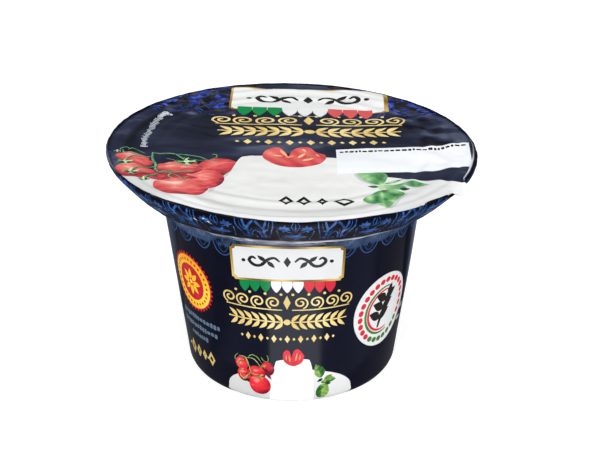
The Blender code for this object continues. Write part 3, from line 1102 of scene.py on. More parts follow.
def wall_fruit():
    """The wall's red fruit on their stems."""
    made = [fruit(-6.6, 10.9, 1.9, 2.2, -0.16), fruit(-13.9, 11.4, 1.9, 2.0)]
    made += [fruit(-13.5, 8.0, 2.0, 2.2, -0.03), Field("red", blade((-7.8, 11.4), (-5.7, 7.6), 1.5), 0.06)]
    made += [fruit(-9.7, 9.2, 2.5, 2.2, -0.05), fruit(-12.0, 7.2, 1.3, 1.5, -0.40)]
    made += [fruit(-9.0, 5.5, 3.1, 3.1)]
    made += strands(1.0, ((0.30, [(-14.6, 13.6), (-12.8, 13.5), (-11.9, 11.4), (-11.3, 9.0)]),
                          (0.26, [(-11.3, 9.0), (-12.6, 7.8), (-13.9, 6.3)]),
                          (0.26, [(-11.3, 9.0), (-10.2, 8.5), (-9.2, 8.7)]),
                          (0.22, [(-12.6, 13.5), (-10.6, 13.6), (-9.4, 12.6), (-8.6, 11.4)]),
                          (0.22, [(-14.7, 9.9), (-15.0, 11.2), (-14.3, 12.3), (-13.2, 12.5)]),
                          (0.22, [(-14.7, 8.7), (-14.5, 7.2), (-13.2, 6.7), (-12.5, 7.6)]),
                          (0.18, [(-11.9, 13.9), (-10.8, 14.7), (-9.4, 14.3), (-8.2, 12.7)]),
                          (0.16, [(-15.9, 12.0), (-15.8, 13.2), (-14.9, 14.2)]),
                          (0.16, [(-6.6, 15.2), (-6.3, 14.2), (-6.5, 13.0)]),
                          (0.18, [(-8.2, 14.4), (-7.6, 13.4), (-6.8, 13.2)])))
    made += sprout(-8.9, 8.3, 1.4) + sprout(-8.0, 11.7, 1.1, (190, 250, 310, 20))
    return made + sprout(-14.2, 9.4, 0.9)


def wall_cut_fruit():
    """The cut fruit on top of the wall's mound."""
    halves = curve([(-0.1, 14.9), (-0.8, 17.0), (-1.8, 17.0), (-2.4, 15.4), (-1.9, 13.4), (0.2, 12.2),
                    (2.4, 13.1), (3.2, 15.0), (2.7, 16.3), (1.6, 17.5), (0.6, 17.1), (0.1, 15.8)],
                   closed=True)

    def shade(x, y):
        return 0.40 + 0.14 * lid_grain(x * 1.4, y * 1.2) + 0.03 * (y - 15)

    seeds = [((0.9, 13.8), (1.4, 16.5), 0.34), ((1.9, 14.0), (2.3, 15.8), 0.28),
             ((-0.5, 13.6), (-0.8, 15.6), 0.28), ((-1.5, 14.0), (-1.5, 15.8), 0.24)]
    return [Field("red", halves, shade)] + fields("cream", [blade(*seed) for seed in seeds], 0.3)


def wall_leaves():
    """The sprig of leaves beside the wall's mound."""
    made = [leaf((8.0, 7.9), (6.3, 12.4), 3.0, -0.3)]
    made += [Field("green", blade((8.5, 7.6), (6.9, 6.7), 0.9), 0.0)]
    made += [leaf((8.9, 7.2), (11.2, 8.5), 1.3), leaf((9.4, 6.9), (12.4, 6.8), 1.9, 0.2)]
    made += [Field("green", blade((9.2, 5.9), (11.0, 5.7), 1.0), 0.05)]
    made += [leaf((8.0, 6.4), (10.6, 6.9), 1.3)]
    made += [Field("green", ellipse(8.6, 3.4, 1.9, 2.5, -10), along_leaf((8.4, 5.8), (8.5, 1.0), 3.8))]
    return made + [leaf((8.6, 5.4), (8.3, 2.6), 1.5, 0.2)]


def wall_picture():
    """The serving picture of the wall: a white dish, a mound, red fruit and green leaves."""
    return wall_dish() + wall_fruit() + wall_cut_fruit() + wall_leaves()


def lid_dish_edge():
    """The part of the lid's rim, tab included, that the white dish runs out to."""
    angles = np.concatenate([np.linspace(62.2, 52.2, 60), np.linspace(51.8, -67.5, 170)])
    turn = np.radians(angles)
    reach = np.max([lid_edge(angles + off) for off in (-0.5, 0, 0.5)], axis=0) + 0.04
    return np.stack([reach * np.sin(turn), -reach * np.cos(turn)], axis=-1)


def lid_dish():
    """The lid's white dish with its mound of cheese, and the fruit behind it."""
    back = curve([(-43.6, -18.0), (-40, -19.6), (-34, -19.0), (-26, -17.6), (-17, -14.4), (-8, -13.0),
                  (8, -14.6), (20.5, -16.8), (36.1, -20.9), (41.4, -22.3)])
    mound = curve([(-13.2, -7.6), (-15.0, -15.5), (-17.0, -23.5), (-19.8, -28.0), (-22.6, -32.5),
                   (-21.2, -36.2), (-16.8, -39.6), (-8, -42.2), (4, -43.0), (15, -41.2), (22, -35.4),
                   (23.6, -28), (20.6, -20), (16.2, -13.0), (14.0, -8.2), (9.0, -6.1), (-8.0, -5.4),
                   (-11.4, -6.0)], closed=True)

    def dish_shade(x, y):
        near = np.hypot(x / 23.4, (y + 27) / 16.4)
        right = 0.50 * smooth(14, 28, x) * (1 - smooth(36, 46, x))
        left = 0.42 * smooth(-24, -34, x) * smooth(-16, -24, y)
        shadow = 0.34 * bump(near, 1.0, 0.055) * (y < -20)
        return 0.78 + 0.004 * x + 0.008 * (y + 30) - shadow - right - left

    def mound_shade(x, y):
        edge = np.hypot(x / 22.6, (y + 26) / 16.6)
        soft = 0.10 * lid_folds(x * 0.16 + 3, y * 0.34 + 3)
        soft += 0.06 * lid_grain(x * 0.5 + 3, y * 0.8 + 3)
        return 0.56 + 0.004 * (y + 24) + soft - 0.25 * bump(edge, 1.02, 0.10) * (y < -14)

    made = [Field("white", np.concatenate([back, lid_dish_edge()]), dish_shade)]
    made += [fruit(-17.9, -13.6, 5.4, 5.6, -0.16), Field("cheese", mound, mound_shade)]
    return made + [Field("shadow", blade((-20, -30.2), (-14.6, -15), 1.3, 0.4), 0.9)]


def lid_fruit():
    """The lid's red fruit with their green tops and stems."""
    made = [fruit(-21.0, -21.0, 4.6, 5.6, -0.05)]
    between = curve([(-38.6, -20.2), (-33.8, -15.8), (-30.0, -16.2), (-28.8, -19.8), (-31.0, -23.2),
                     (-36.8, -23.2)], closed=True)
    made += [Field("red", between, with_painted_glare(sheen(9, 30, 0.16, 0.10), 0.16))]
    made += [fruit(-39.9, -9.7, 4.3, 3.2), fruit(-37.6, -12.2, 3.2, 2.5, -0.06)]
    made += [Field("red", blade((-42.4, -20.8), (-34.6, -22.4), 3.0), 0.12)]
    made += [fruit(-39.5, -17.9, 4.0, 4.0, -0.02), fruit(-36.0, -18.4, 3.2, 2.7, -0.10)]
    made += [fruit(-27.9, -14.6, 5.9, 4.2, -0.06)]
    low = blade((-31.6, -19.0), (-22.4, -20.8), 3.4, 0.2)
    made += [Field("red", low, with_painted_glare(sheen(30, 0, 0.10, 0.06), 0.1)), fruit(-26.6, -26.6, 6.7, 5.8)]
    for x, y, size in ((-41.4, -12.9, 2.2), (-39.4, -19.0, 2.4), (-35.8, -23.6, 1.7), (-44.2, -6.6, 1.0),
                       (-26.3, -10.4, 2.8)):
        made += calyx(x, y, size)
    routes = ((0.78, [(-35.3, -4.9), (-34.9, -9.4), (-33.8, -12.8), (-33.7, -15.2), (-32.8, -17.2)]),
              (0.66, [(-32.8, -17.2), (-30.4, -17.1), (-27.4, -16.9), (-24.3, -16.7)]),
              (0.60, [(-35.2, -5.2), (-32.1, -5.2), (-29.4, -5.7), (-26.6, -9.6)]),
              (0.50, [(-30.4, -5.5), (-26.4, -5.8), (-23.6, -6.8), (-21.2, -8.9), (-19.2, -9.2)]),
              (0.40, [(-20.2, -8.4), (-19.0, -7.2), (-19.2, -5.4), (-20.2, -5.1)]),
              (0.60, [(-35.0, -8.2), (-38.3, -7.6), (-41.0, -10.2), (-41.5, -12.4)]),
              (0.60, [(-34.0, -14.0), (-37.0, -15.6), (-38.8, -17.2), (-39.4, -19.4)]),
              (0.60, [(-32.7, -18.0), (-34.0, -20.0), (-35.1, -21.9), (-35.6, -24.0)]),
              (0.45, [(-32.6, -17.6), (-29.7, -18.0), (-30.0, -19.9), (-28.8, -21.2)]),
              (0.45, [(-29.7, -18.0), (-27.9, -19.3), (-26.6, -20.9), (-25.2, -19.6)]),
              (0.45, [(-42.9, -5.4), (-42.4, -7.0), (-40.6, -7.0), (-38.6, -6.6)]),
              (0.40, [(-43.6, -5.6), (-43.3, -4.2), (-42.2, -3.6), (-41.4, -4.4)]),
              (0.40, [(-41.6, -5.4), (-40.5, -3.9), (-38.9, -4.3), (-37.0, -5.6)]),
              (0.30, [(-28.6, -7.4), (-26.0, -8.4), (-23.4, -9.6), (-21.6, -9.2)]),
              (0.30, [(-30.2, -12.6), (-27.6, -12.0), (-24.6, -13.4), (-22.4, -12.4)]),
              (0.30, [(-31.6, -8.2), (-29.2, -9.8), (-28.4, -12.2)]))
    return made + strands(0.72, routes)


def lid_cut_fruit():
    """The cut fruit on top of the lid's mound."""
    cut = curve([(-7.5, -5.2), (-6.6, -1.8), (-4.2, 0.4), (-2.6, -0.6), (-0.9, -5.4), (0.0, -1.8),
                 (2.0, 0.9), (4.5, 0.6), (6.3, -2.7), (8.2, -4.0), (8.6, -6.8), (6.6, -10.5), (1.3, -12.5),
                 (-3.6, -11.5), (-6.6, -8.2)], closed=True)

    def shade(x, y):
        lobes = 0.26 * bump(np.hypot((x + 5.0) / 2.6, (y + 3.4) / 3.6), 0, 0.8)
        lobes += 0.22 * bump(np.hypot((x - 3.6) / 3.4, (y + 1.6) / 3.0), 0, 0.8)
        wall = 0.16 * np.sin(x * 1.3 + y * 0.9)
        return 0.38 + lobes + wall * 0.6 - 0.14 * bump(y, -11.6, 1.4)

    made = [Field("red", cut, shade)]
    seeds = (((-3.0, -1.2), (-1.1, -6.0), 1.0, 0.25), ((-4.9, -4.8), (-2.2, -5.4), 0.7, 0.6),
             ((-1.6, -6.6), (0.6, -5.0), 0.6, 0.2), ((1.5, -6.6), (3.4, -3.2), 1.0, 0.6),
             ((2.6, -0.2), (3.6, -2.4), 0.6, 0.8), ((2.6, -8.2), (5.6, -6.8), 1.1, 0.6),
             ((6.0, -3.8), (7.0, -5.6), 0.6, 0.3))
    return made + [Field("cream", blade(near, far, width), tone) for near, far, width, tone in seeds]


def lid_leaves():
    """The sprig of crumpled leaves beside the lid's mound, over its shadow."""
    big = curve([(18.7, -28.2), (21.4, -25.3), (25.6, -26.0), (26.8, -28.3), (24.8, -32.8), (22.9, -36.9),
                 (21.7, -37.6), (18.4, -34.2), (16.7, -31.9)], closed=True)
    top = curve([(21.6, -22.0), (18.8, -20.8), (16.8, -18.4), (16.4, -15.4), (22.3, -15.2), (23.4, -17.6)],
                closed=True)
    side = curve([(23.6, -22.2), (26.2, -21.4), (29.6, -19.9), (31.6, -21.0), (32.8, -22.8), (30.2, -23.7),
                  (27.4, -22.7)], closed=True)
    middle = curve([(21.9, -22.6), (24.3, -21.9), (27.4, -23.6), (26.4, -25.2), (23.4, -25.2)], closed=True)

    def crumpled(x, y):
        broad = 0.34 * lid_folds(x * 0.55 + 11, y * 0.42 + 11)
        rib = 0.30 * bump(x - 21.3 + 0.02 * (y + 30), 0, 0.35) * (y < -24)
        return 0.48 + broad + 0.16 * lid_grain(x * 1.4 + 5, y + 5) + rib

    made = fields("shadow", [big + (0.7, -0.5), side + (0.5, -0.7), top + (-0.8, -0.3)], 0.72)
    made += fields("green", [top, side], crumpled)
    made += [leaf((22.2, -21.7), (27.4, -18.5), 1.1)]
    made += [Field("green", middle, lambda x, y: 0.75 - 0.06 * (x - 22))]
    made += [Field("green", blade((20.9, -23.4), (18.2, -23.1), 1.5), 0.12)]
    made += [Field("green", blade((25.8, -25.0), (28.5, -24.7), 1.7), 0.08)]
    return made + [Field("green", big, crumpled), Field("green", ellipse(21.4, -23.6, 0.7, 1.3), 0.8)]


def lid_marks():
    """Hollow dark lozenges and a white label with one row of dashes."""
    made = []
    for x, width, height in ((-1.4, 3.8, 5.4), (2.8, 3.8, 5.4), (7.1, 3.0, 4.4), (12.2, 5.2, 5.0)):
        hole = lozenge(x, -32.9, width - 2.2, height - 3.0)
        made.append(Field("dark", lozenge(x, -32.9, width, height), holes=[hole]))
    label = [(11.2, -16.3), (45.2, -12.0), (46.1, 4.2), (11.3, -0.1)]
    # lighter towards the right: a painted glare on the white label
    made.append(Field("label", label, lambda x, y: 0.35 + 0.012 * (x - 11)))
    for dash in small_rows([(0, 30.8)], 0, 0, 1, 6, "dark"):
        x, y = (dash.rings[0] * (1.06, 0.95)).T
        made.append(Field("dark", np.stack([x + 12.2, y - 2.0 + 0.133 * x], axis=-1)))
    return made


def lid_picture():
    """The serving picture of the lid, and the marks over it."""
    return lid_dish() + lid_fruit() + lid_cut_fruit() + lid_leaves() + lid_marks()


def lid_titles():
    """The bare panel, the gold rows and the row of petals, at the lid's larger scale."""
    def arched(ring):
        x, y = moved(ring, y=-25.8 * 1.40, wide=1.61, high=1.40).T
        return moved(np.stack([x, y + 0.0016 * x * x], axis=-1), x=4.7, y=11.6, turn=1.4)

    rows = [part.redrawn(arched) for part in title_rows()]
    edge = Field("brass", stroke([(21.9, -7.4), (22.0, 0), (21.9, 7.4)], 1.1, 0.9), sheen(9, 60, 0.3, 0.3))
    plaque = placed(panel(43.8, 16.6, 0.7) + [edge], x=4.5, y=35.0, high=0.93, turn=-1.2)
    return plaque, rows, placed(valance(37.5, 5.8), x=3.6, y=29.0, turn=-1.2)


def dashed_arc():
    """A pale dashed line that follows the lid's left side."""
    line = curve([(-38.1, -1.1), (-38.1, 4.9), (-37.2, 12.6), (-35.5, 19.6), (-33.9, 22.6)], per_span=9)
    along = np.gradient(line, axis=0)
    across = np.stack([-along[:, 1], along[:, 0]], axis=-1) / np.linalg.norm(along, axis=1)[:, None]
    draw = np.random.default_rng(31)
    rings = [ellipse(-32.9, 21.9, 0.45, count=12)]
    for middle, side in zip(line, across):
        reach = draw.uniform(0.45, 1.05)
        middle = middle + side * draw.uniform(-0.25, 0.25)
        rings.append(stroke([middle + side * w for w in (-reach, 0, reach)], draw.uniform(0.28, 0.50), 0.8))
    return fields("pale", rings, worn(0.55, 0.4, 1.0))


# ---------------------------------------------------------------- the blue damask

REPEATS = 15


def arch_motif():
    """A pointed arch on two forked stems, between bell-shaped lines; heights run down from the rim."""
    lines = (([(2.0, -8.9), (1.95, -7.6), (1.85, -6.0), (1.9, -3.2)], 0.54, 0.9),
             ([(1.9, -3.6), (2.1, -2.3), (2.35, -1.3), (2.6, -0.35)], 0.50, 0.8),
             ([(1.9, -3.4), (1.5, -2.3), (0.95, -1.3), (0.2, -0.5)], 0.58, 0.8),
             ([(1.1, -8.7), (1.0, -7.2), (0.7, -5.4), (-0.05, -4.2)], 0.27, 0.8),
             ([(4.15, -0.3), (4.0, -2.2), (3.5, -5.0), (2.95, -8.0), (2.9, -8.9)], 0.26, 0.9),
             ([(0.7, -3.3), (1.15, -5.2), (1.35, -8.4)], 0.12, 0.9),
             ([(3.3, -0.5), (3.0, -2.6), (2.6, -4.6)], 0.12, 0.9))
    right = [brush(*line) for line in lines]
    right += [blade((1.9, -5.2), (2.7, -3.4), 0.45), blade((2.0, -8.8), (2.8, -6.8), 0.4)]
    return both_sides(right) + [blade((0, -9.0), (0, -7.0), 0.42)]


def palmette(x, y, size, turn, leaves=5):
    """A fan of small leaves on a short stem, as pressed in damask."""
    def away(angle, reach):
        a = math.radians(angle + turn)
        return (x + reach * math.cos(a), y + reach * math.sin(a))

    made = []
    for angle in np.linspace(-78, 78, leaves):
        tip = away(90 + angle, size * (1.0 - 0.18 * abs(angle) / 78))
        made.append(blade((x, y), tip, size * 0.46, 0.0, 2))
    return made + [blade((x, y), away(270, 0.8 * size), size * 0.3)]


def leaf_pair_motif():
    """Two fans of leaves over a long drop that lies across, between small brackets."""
    right = palmette(2.55, -3.0, 1.9, 8)
    right += [brush([(0.9, -4.4), (1.7, -4.1), (2.4, -3.4)], 0.24)]
    right += [blade((0.1, -3.6), (0.75, -2.6), 0.35)]
    right += [brush([(4.1, -3.6), (3.9, -5.8), (3.5, -8.0), (3.5, -8.9)], 0.25, 0.8)]
    right += [brush([(0.5, -0.6), (0.9, -1.6), (0.5, -2.6)], 0.18, 0.8)]
    right += [ellipse(1.0, -5.4, 0.22, count=10)]
    made = both_sides(right)
    made += [stroke([(0, -4.2), (0, -2.6), (0, -0.7)], 0.30, 0.5)]
    return made + [blade((-3.05, -7.1), (3.05, -7.1), 2.2, 0.2, 4), blade((0, -9.1), (0, -8.3), 0.8)]


def scallop(half, bottom):
    """A hanging double loop with a small leaf pair in it, on the wall just under the tuck."""
    loop = [(-half, 50.6), (-half * 0.97, 47.6), (-half * 0.66, bottom + 1.2), (0, bottom),
            (half * 0.66, bottom + 1.2), (half * 0.97, 47.6), (half, 50.6)]
    inner = [(-half * 0.74, 50.2), (-half * 0.72, 47.6), (0, bottom + 0.8), (half * 0.72, 47.6),
             (half * 0.74, 50.2)]
    made = [brush(loop, 0.34, 0.9), brush(inner, 0.16, 0.8)]
    middle = bottom + 3.0
    for side in (1, -1):
        made += palmette(side * half * 0.28, middle - 0.2, 0.95, -25 * side, 3)
    return made + [blade((0, middle + 0.6), (0, middle + 3.0), 0.5)]


def painted_glints():
    """Painted highlights: small white glints on the film's edge at the left."""
    rings = [blade((-0.5, -1.9), (0.7, -4.6), 0.45), blade((-0.3, -2.0), (-1.0, -3.2), 0.4),
             blade((-3.6, -3.6), (-2.9, -4.4), 0.4)]
    return fields("white", rings, 0.9)


def rim_specks():
    """Bright scraps of the damask on the rim's side at the left."""
    rings = [blade((-47.6, -0.9), (-45.6, -1.5), 1.3, 0.1, 2),
             blade((-44.6, -0.8), (-42.6, -1.6), 1.2, 0.1, 2),
             blade((-50.8, -0.7), (-49.8, -1.2), 0.6)]
    return fields("blue", rings, worn(0.55, 0.4, 0.9))


def border_ground(deep, shallow):
    """The border's dark ground, with leaf-shaped shadows and a paler drop in it."""
    turn = np.radians(np.linspace(122.9, 102, 30))
    rim = (LID_RADIUS - 0.15) * np.stack([np.cos(turn), np.sin(turn)], axis=-1)
    outline = np.concatenate([deep[::-1], shallow, rim, [(-12, 42)]])
    shadows = (((-27.6, 30.6), (-31.6, 30.4), 1.7), ((-26.4, 34.4), (-22.6, 37.0), 1.5),
               ((-26.6, 30.2), (-24.2, 29.4), 1.6), ((-25.0, 27.4), (-20.4, 27.4), 1.3),
               ((-22.2, 31.8), (-25.2, 32.4), 1.3), ((-33.0, 34.2), (-30.0, 34.0), 1.2),
               ((-18.4, 33.4), (-21.0, 31.6), 1.2), ((-36.6, 28.6), (-33.8, 28.0), 1.0))
    made = [Field("ground", outline, worn(0.5, 0.75, 0.5))]
    made += fields("ground", [blade(base, tip, width, 0.2, 2) for base, tip, width in shadows], 0.02)
    return made + [Field("ground", blade((-27.3, 34.6), (-27.6, 39.8), 2.6), worn(0.85, 0.4, 0.8))]


def border_sprays(deep, shallow):
    """The border's double lines and the leaves that fill it, in blue."""
    rings = []
    for path in (deep, shallow):
        rings += [stroke(path, 0.46, 0.6), stroke(path + (0, 1.5), 0.24, 0.5)]
    rings += [blade((-27.2, 28.4), (-27.3, 35.2), 3.0, 0.0, 2)]
    sprays = (((-27.4, 33.2), (-31.8, 36.2), 2.2), ((-27.8, 32.8), (-29.9, 38.8), 1.5),
              ((-26.9, 33.2), (-22.9, 42.3), 2.2), ((-26.5, 33.0), (-23.2, 37.8), 1.5),
              ((-31.8, 31.4), (-37.4, 30.2), 2.4), ((-32.8, 32.0), (-34.8, 35.2), 1.5),
              ((-33.8, 30.4), (-32.4, 33.8), 1.7), ((-32.8, 26.4), (-30.2, 28.6), 1.4),
              ((-35.4, 26.4), (-38.8, 27.6), 1.0), ((-34.2, 26.8), (-36.8, 28.8), 1.1),
              ((-23.4, 28.9), (-17.2, 29.9), 1.9), ((-23.0, 29.4), (-21.6, 33.8), 1.9),
              ((-21.4, 33.8), (-19.0, 38.8), 2.0), ((-20.8, 34.2), (-17.4, 35.6), 1.4),
              ((-20.6, 29.8), (-18.2, 33.2), 1.5), ((-24.0, 39.0), (-21.0, 41.0), 0.9),
              ((-18.4, 36.8), (-15.4, 40.6), 1.6), ((-17.0, 31.4), (-14.4, 34.8), 1.5),
              ((-29.6, 37.4), (-26.2, 40.6), 1.0), ((-24.6, 30.6), (-22.0, 27.2), 0.8),
              ((-21.6, 41.6), (-16.8, 43.6), 1.3), ((-17.6, 40.8), (-13.4, 43.8), 1.4),
              ((-25.2, 37.6), (-22.4, 40.2), 1.2), ((-33.4, 33.6), (-30.2, 35.6), 1.2),
              ((-19.8, 27.0), (-15.4, 28.6), 1.2), ((-36.4, 31.6), (-34.2, 33.6), 1.0))
    for turn, (base, tip, width) in enumerate(sprays):
        rings.append(blade(base, tip, width, 0.3 * (-1) ** turn, 3))
    return fields("blue", rings, worn(0.44, 0.85, 0.85))


def border_cuts():
    """Thin dark cuts strewn over the border's leaves."""
    draw = np.random.default_rng(17)
    cuts = []
    for x, y in zip(draw.uniform(-38, -14, 46), draw.uniform(25, 41, 46)):
        tip = (x + draw.uniform(-2.2, 2.2), y + draw.uniform(-0.9, 0.9))
        if min(y, tip[1]) > 26 and abs(x + 27.2) > 1.2:
            cuts.append(blade((x, y), tip, draw.uniform(0.35, 0.75)))
    return fields("ground", cuts, worn(0.25, 0.5, 0.8))


def lid_border():
    """The damask at the left back of the lid: two hanging scallops filled with leaf sprays."""
    deep = curve([(-27.2, 29.6), (-26.0, 26.4), (-23.7, 24.2), (-21.1, 23.2), (-17.5, 22.9), (-12, 24.0)])
    shallow = curve([(-27.2, 29.6), (-27.9, 27.7), (-30, 25.2), (-33.1, 23.4), (-35.6, 23.4), (-38.2, 24.6),
                     (-39.6, 25.6)])
    return border_ground(deep, shallow) + border_sprays(deep, shallow) + border_cuts()


def lid_specks():
    """Scraps of the damask at the lid's left edge."""
    rings = []
    for x, y, size, turn in ((-46.0, -7.6, 1.1, 70), (-45.6, -9.4, 0.8, 110), (-44.9, -14.6, 1.3, 80)):
        rings += palmette(x, y, size, turn, 3)
    return fields("blue", rings, worn(0.30, 0.5, 0.8))


# ---------------------------------------------------------------- stage, light and camera

CAMERA_DISTANCE = 0.3119
CAMERA_HEIGHT = 0.185
CAMERA_PITCH = 0.441                            # radians below the horizon
SENSOR = 36.0
IMAGE_WIDTH = 600
FOCAL_PIXELS = 1300
CENTRE_COLUMN = 292                             # picture column of the camera's axis


def make_camera():
    """The camera that was fitted to the photograph."""
    data = bpy.data.cameras.new("camera")
    data.sensor_width = SENSOR
    data.lens = FOCAL_PIXELS * SENSOR / IMAGE_WIDTH
    data.shift_x = (IMAGE_WIDTH / 2 - CENTRE_COLUMN) / IMAGE_WIDTH
    data.clip_start = 0.01
    data.clip_end = 20
    camera = bpy.data.objects.new("camera", data)
    camera.location = (0, -CAMERA_DISTANCE, CAMERA_HEIGHT)
    camera.rotation_euler = (math.pi / 2 - CAMERA_PITCH, 0, 0)
    bpy.context.scene.collection.objects.link(camera)
    bpy.context.scene.camera = camera


def studio_mesh(name, points, faces, material, levels=None):
    """A mesh of the studio, in metres, with any glow levels at its points."""
    mesh = bpy.data.meshes.new(name)
    mesh.from_pydata(points, [], faces)
    if levels:
        mesh.attributes.new("level", "FLOAT", "POINT").data.foreach_set("value", levels)
    mesh.materials.append(material)
    thing = bpy.data.objects.new(name, mesh)
    bpy.context.scene.collection.objects.link(thing)
    return thing


def only_in_gloss(thing):
    """Leaves a glowing mesh visible in mirrored light alone."""
    thing.visible_camera = False
    thing.visible_diffuse = False
    thing.visible_shadow = False


def make_floor():
    """A wide pale floor with a faint unevenness."""
    half = 4.0
    material, tree, shader = new_material("pale_floor")
    place = tree.nodes.new("ShaderNodeTexCoord").outputs["Object"]
    noise = add_node(tree, "TexNoise", {"Vector": place, "Scale": 6})
    mix = tree.nodes.new("ShaderNodeMix")
    mix.data_type = "RGBA"
    set_inputs(tree, mix, {"Factor": noise.outputs["Fac"], "A": (0.46, 0.46, 0.46, 1),
                           "B": (0.50, 0.50, 0.50, 1)})
    set_inputs(tree, shader, {"Base Color": mix.outputs["Result"], "Roughness": 0.7,
                              "Specular IOR Level": 0.2, "Emission Color": (1, 1, 1, 1),
                              "Emission Strength": 0.74})
    corners = [(-half, -half, 0), (half, -half, 0), (half, half, 0), (-half, half, 0)]
    floor = studio_mesh("floor", corners, [(0, 1, 2, 3)], material)
    floor.visible_glossy = False                # the wall mirrors the dark studio and not the floor


def make_softbox(name, place, target, size, power):
    """A rectangular light at a place, turned to a target."""
    data = bpy.data.lights.new(name, "AREA")
    data.shape = "RECTANGLE"
    data.size, data.size_y = size
    data.energy = power
    lamp = bpy.data.objects.new(name, data)
    lamp.location = place
    aim = Vector(target) - Vector(place)
    lamp.rotation_euler = aim.to_track_quat("-Z", "Y").to_euler()
    bpy.context.scene.collection.objects.link(lamp)


def make_lights():
    """Two soft lights above and in front, and a weaker one at each side."""
    target = (0, 0, 0.035)
    make_softbox("overhead", (0, -0.25, 1.1), target, (1.2, 0.9), 12.5)
    make_softbox("front", (0, -1.2, 0.75), target, (1.4, 0.7), 10)
    make_softbox("left", (-1.1, -0.25, 0.5), target, (0.7, 0.7), 4)
    make_softbox("right", (1.1, -0.25, 0.5), target, (0.7, 0.7), 4)


def make_card():
    """A glowing card on the floor in front, seen only in the wall's gloss as an upright pale band."""
    material, tree, shader = new_material("card_glow")
    set_inputs(tree, shader, {"Base Color": (0, 0, 0, 1), "Emission Color": (0.85, 0.9, 1, 1),
                              "Emission Strength": 1.6})
    near, far, height = -0.037, -0.125, 0.001
    corners = [(-0.0095, near, height), (0.0125, near, height), (0.060, far, height), (-0.048, far, height)]
    only_in_gloss(studio_mesh("front_card", corners, [(0, 3, 2, 1)], material))


def make_fans():
    """Glowing fans on the floor, one in front and two beside the back, seen only in the wall's gloss."""
    near, far, height = 0.038, 0.6, 0.0008
    steps = {"front_fan": (0.24, ((-64, 0), (-42, 1), (0, 1), (54, 1), (74, 0))),
             "right_fan": (0.33, ((110, 0), (132, 1), (170, 1))),
             "left_fan": (0.22, ((-170, 1), (-132, 1), (-112, 0)))}
    for name, (glow, turns) in steps.items():
        points, levels = [], []
        for turn, level in turns:
            a = math.radians(turn)
            for reach in (near, far):
                points.append((reach * math.sin(a), -reach * math.cos(a), height))
                levels.append(level)
        faces = [(2 * i, 2 * i + 1, 2 * i + 3, 2 * i + 2) for i in range(len(turns) - 1)]
        material, tree, shader = new_material(f"{name}_glow")
        strength = scaled_sum(tree, attribute_value(tree, "level"), glow, 0.0)
        set_inputs(tree, shader, {"Base Color": (0, 0, 0, 1), "Emission Color": (0.57, 0.68, 1, 1),
                                  "Emission Strength": strength})
        only_in_gloss(studio_mesh(name, points, faces, material, levels))


def make_world():
    """A dim, slightly blue studio round everything."""
    world = bpy.data.worlds.new("studio")
    world.use_nodes = True
    background = world.node_tree.nodes["Background"]
    background.inputs["Color"].default_value = (0.95, 0.97, 1.0, 1)
    background.inputs["Strength"].default_value = 0.12
    bpy.context.scene.world = world
    bpy.context.scene.view_settings.view_transform = "Standard"


# ---------------------------------------------------------------- where the print lies

WALL_DEGREE = math.radians(1) * 31              # millimetres of layout for a degree on the wall
BAND_DEGREE = math.radians(1) * 44.2            # the same on the shoulder
BAND_DEPTH = 9.8                                # how far down the shoulder's ornament reaches
PRINT_SHIFT = 1.4                               # how far the lid's print lies towards the front
PRINT_BOTTOM = -0.6                             # layout height of the sleeve's lower edge


def wall_run(height):
    """Run for a layout height on the wall; the last of it runs round under the foot."""
    foot_share = (FOOT_TOP - np.asarray(height, float)) / (FOOT_TOP - PRINT_BOTTOM)
    foot_run = FOOT_RUN + foot_share * (RUN_END - FOOT_RUN - 0.1)
    return np.where(np.asarray(height) > FOOT_TOP, run_at(height), foot_run)


def on_wall(middle=0.0, drift=False):
    """Where the wall's print goes; drift slides it round as the film shrank."""
    def place(x, y, lift):
        slide = 2.1 - 6.8 * math.sin(math.radians(middle)) if drift else 0
        return sleeve_point(middle + slide + x / WALL_DEGREE, wall_run(y), lift)
    return place


def on_band(middle):
    """Where one repeat of the shoulder's ornament goes."""
    def place(x, y, lift):
        slide = 1.0 - 2.04 * math.sin(math.radians(middle))
        angle = middle + slide + x / BAND_DEGREE
        near_tab = 1 - smooth(4.4, 6.2, np.abs(off_from(TAB_ANGLE, angle)))
        return sleeve_point(angle, -y + near_tab * (TAB_SLOT + 0.9) * (1 + y / BAND_DEPTH), lift)
    return place


def on_rim(x, y, lift):
    """Straight onto the rim's side, without the slide that the ornament took."""
    return sleeve_point(x / BAND_DEGREE, -y, lift)


def on_seam(x, y, lift):
    """Where the overlap of the sleeve's two ends lies, straight down the back."""
    return sleeve_point(180 + x / WALL_DEGREE, -y, lift)


def on_lid_top(x, y, lift):
    """Where the lid's print goes: its middle lies a little nearer the front than its rim."""
    inner = 1 - smooth(37, 42, np.hypot(x, y))
    return lid_point(x, y - PRINT_SHIFT * inner, lift)


def mirrored(parts):
    """Fields mirrored about the line x = 0. A shade that is a function stays as it is."""
    return [part.redrawn(lambda ring: ring[::-1] * (-1, 1)) for part in parts]


def print_lid():
    """Lays the lid's print. What reaches its edge is cut off there."""
    edge = ellipse(0, 0, LID_RADIUS - 0.1, count=360)
    plaque, rows, petals = lid_titles()

    def lay(name, parts, **how):
        print_on(name, parts, [on_lid_top], "lid_film", **how)

    lay("lid_border_left", on_lid(lid_border()), clip=edge)
    lay("lid_border_right", on_lid(mirrored(lid_border())), clip=edge)
    lay("lid_specks", on_lid(lid_specks()), clip=edge)
    lay("lid_panel", on_lid(plaque), lift=0.11, clip=edge)
    lay("lid_valance", on_lid(petals), lift=0.14)
    lay("lid_rows", rows, step=0.7)
    lay("lid_arc", dashed_arc(), step=0.5)
    lay("lid_picture", on_lid(lid_picture()), step=0.6, lift=0.06, sink=FILM + 0.02)


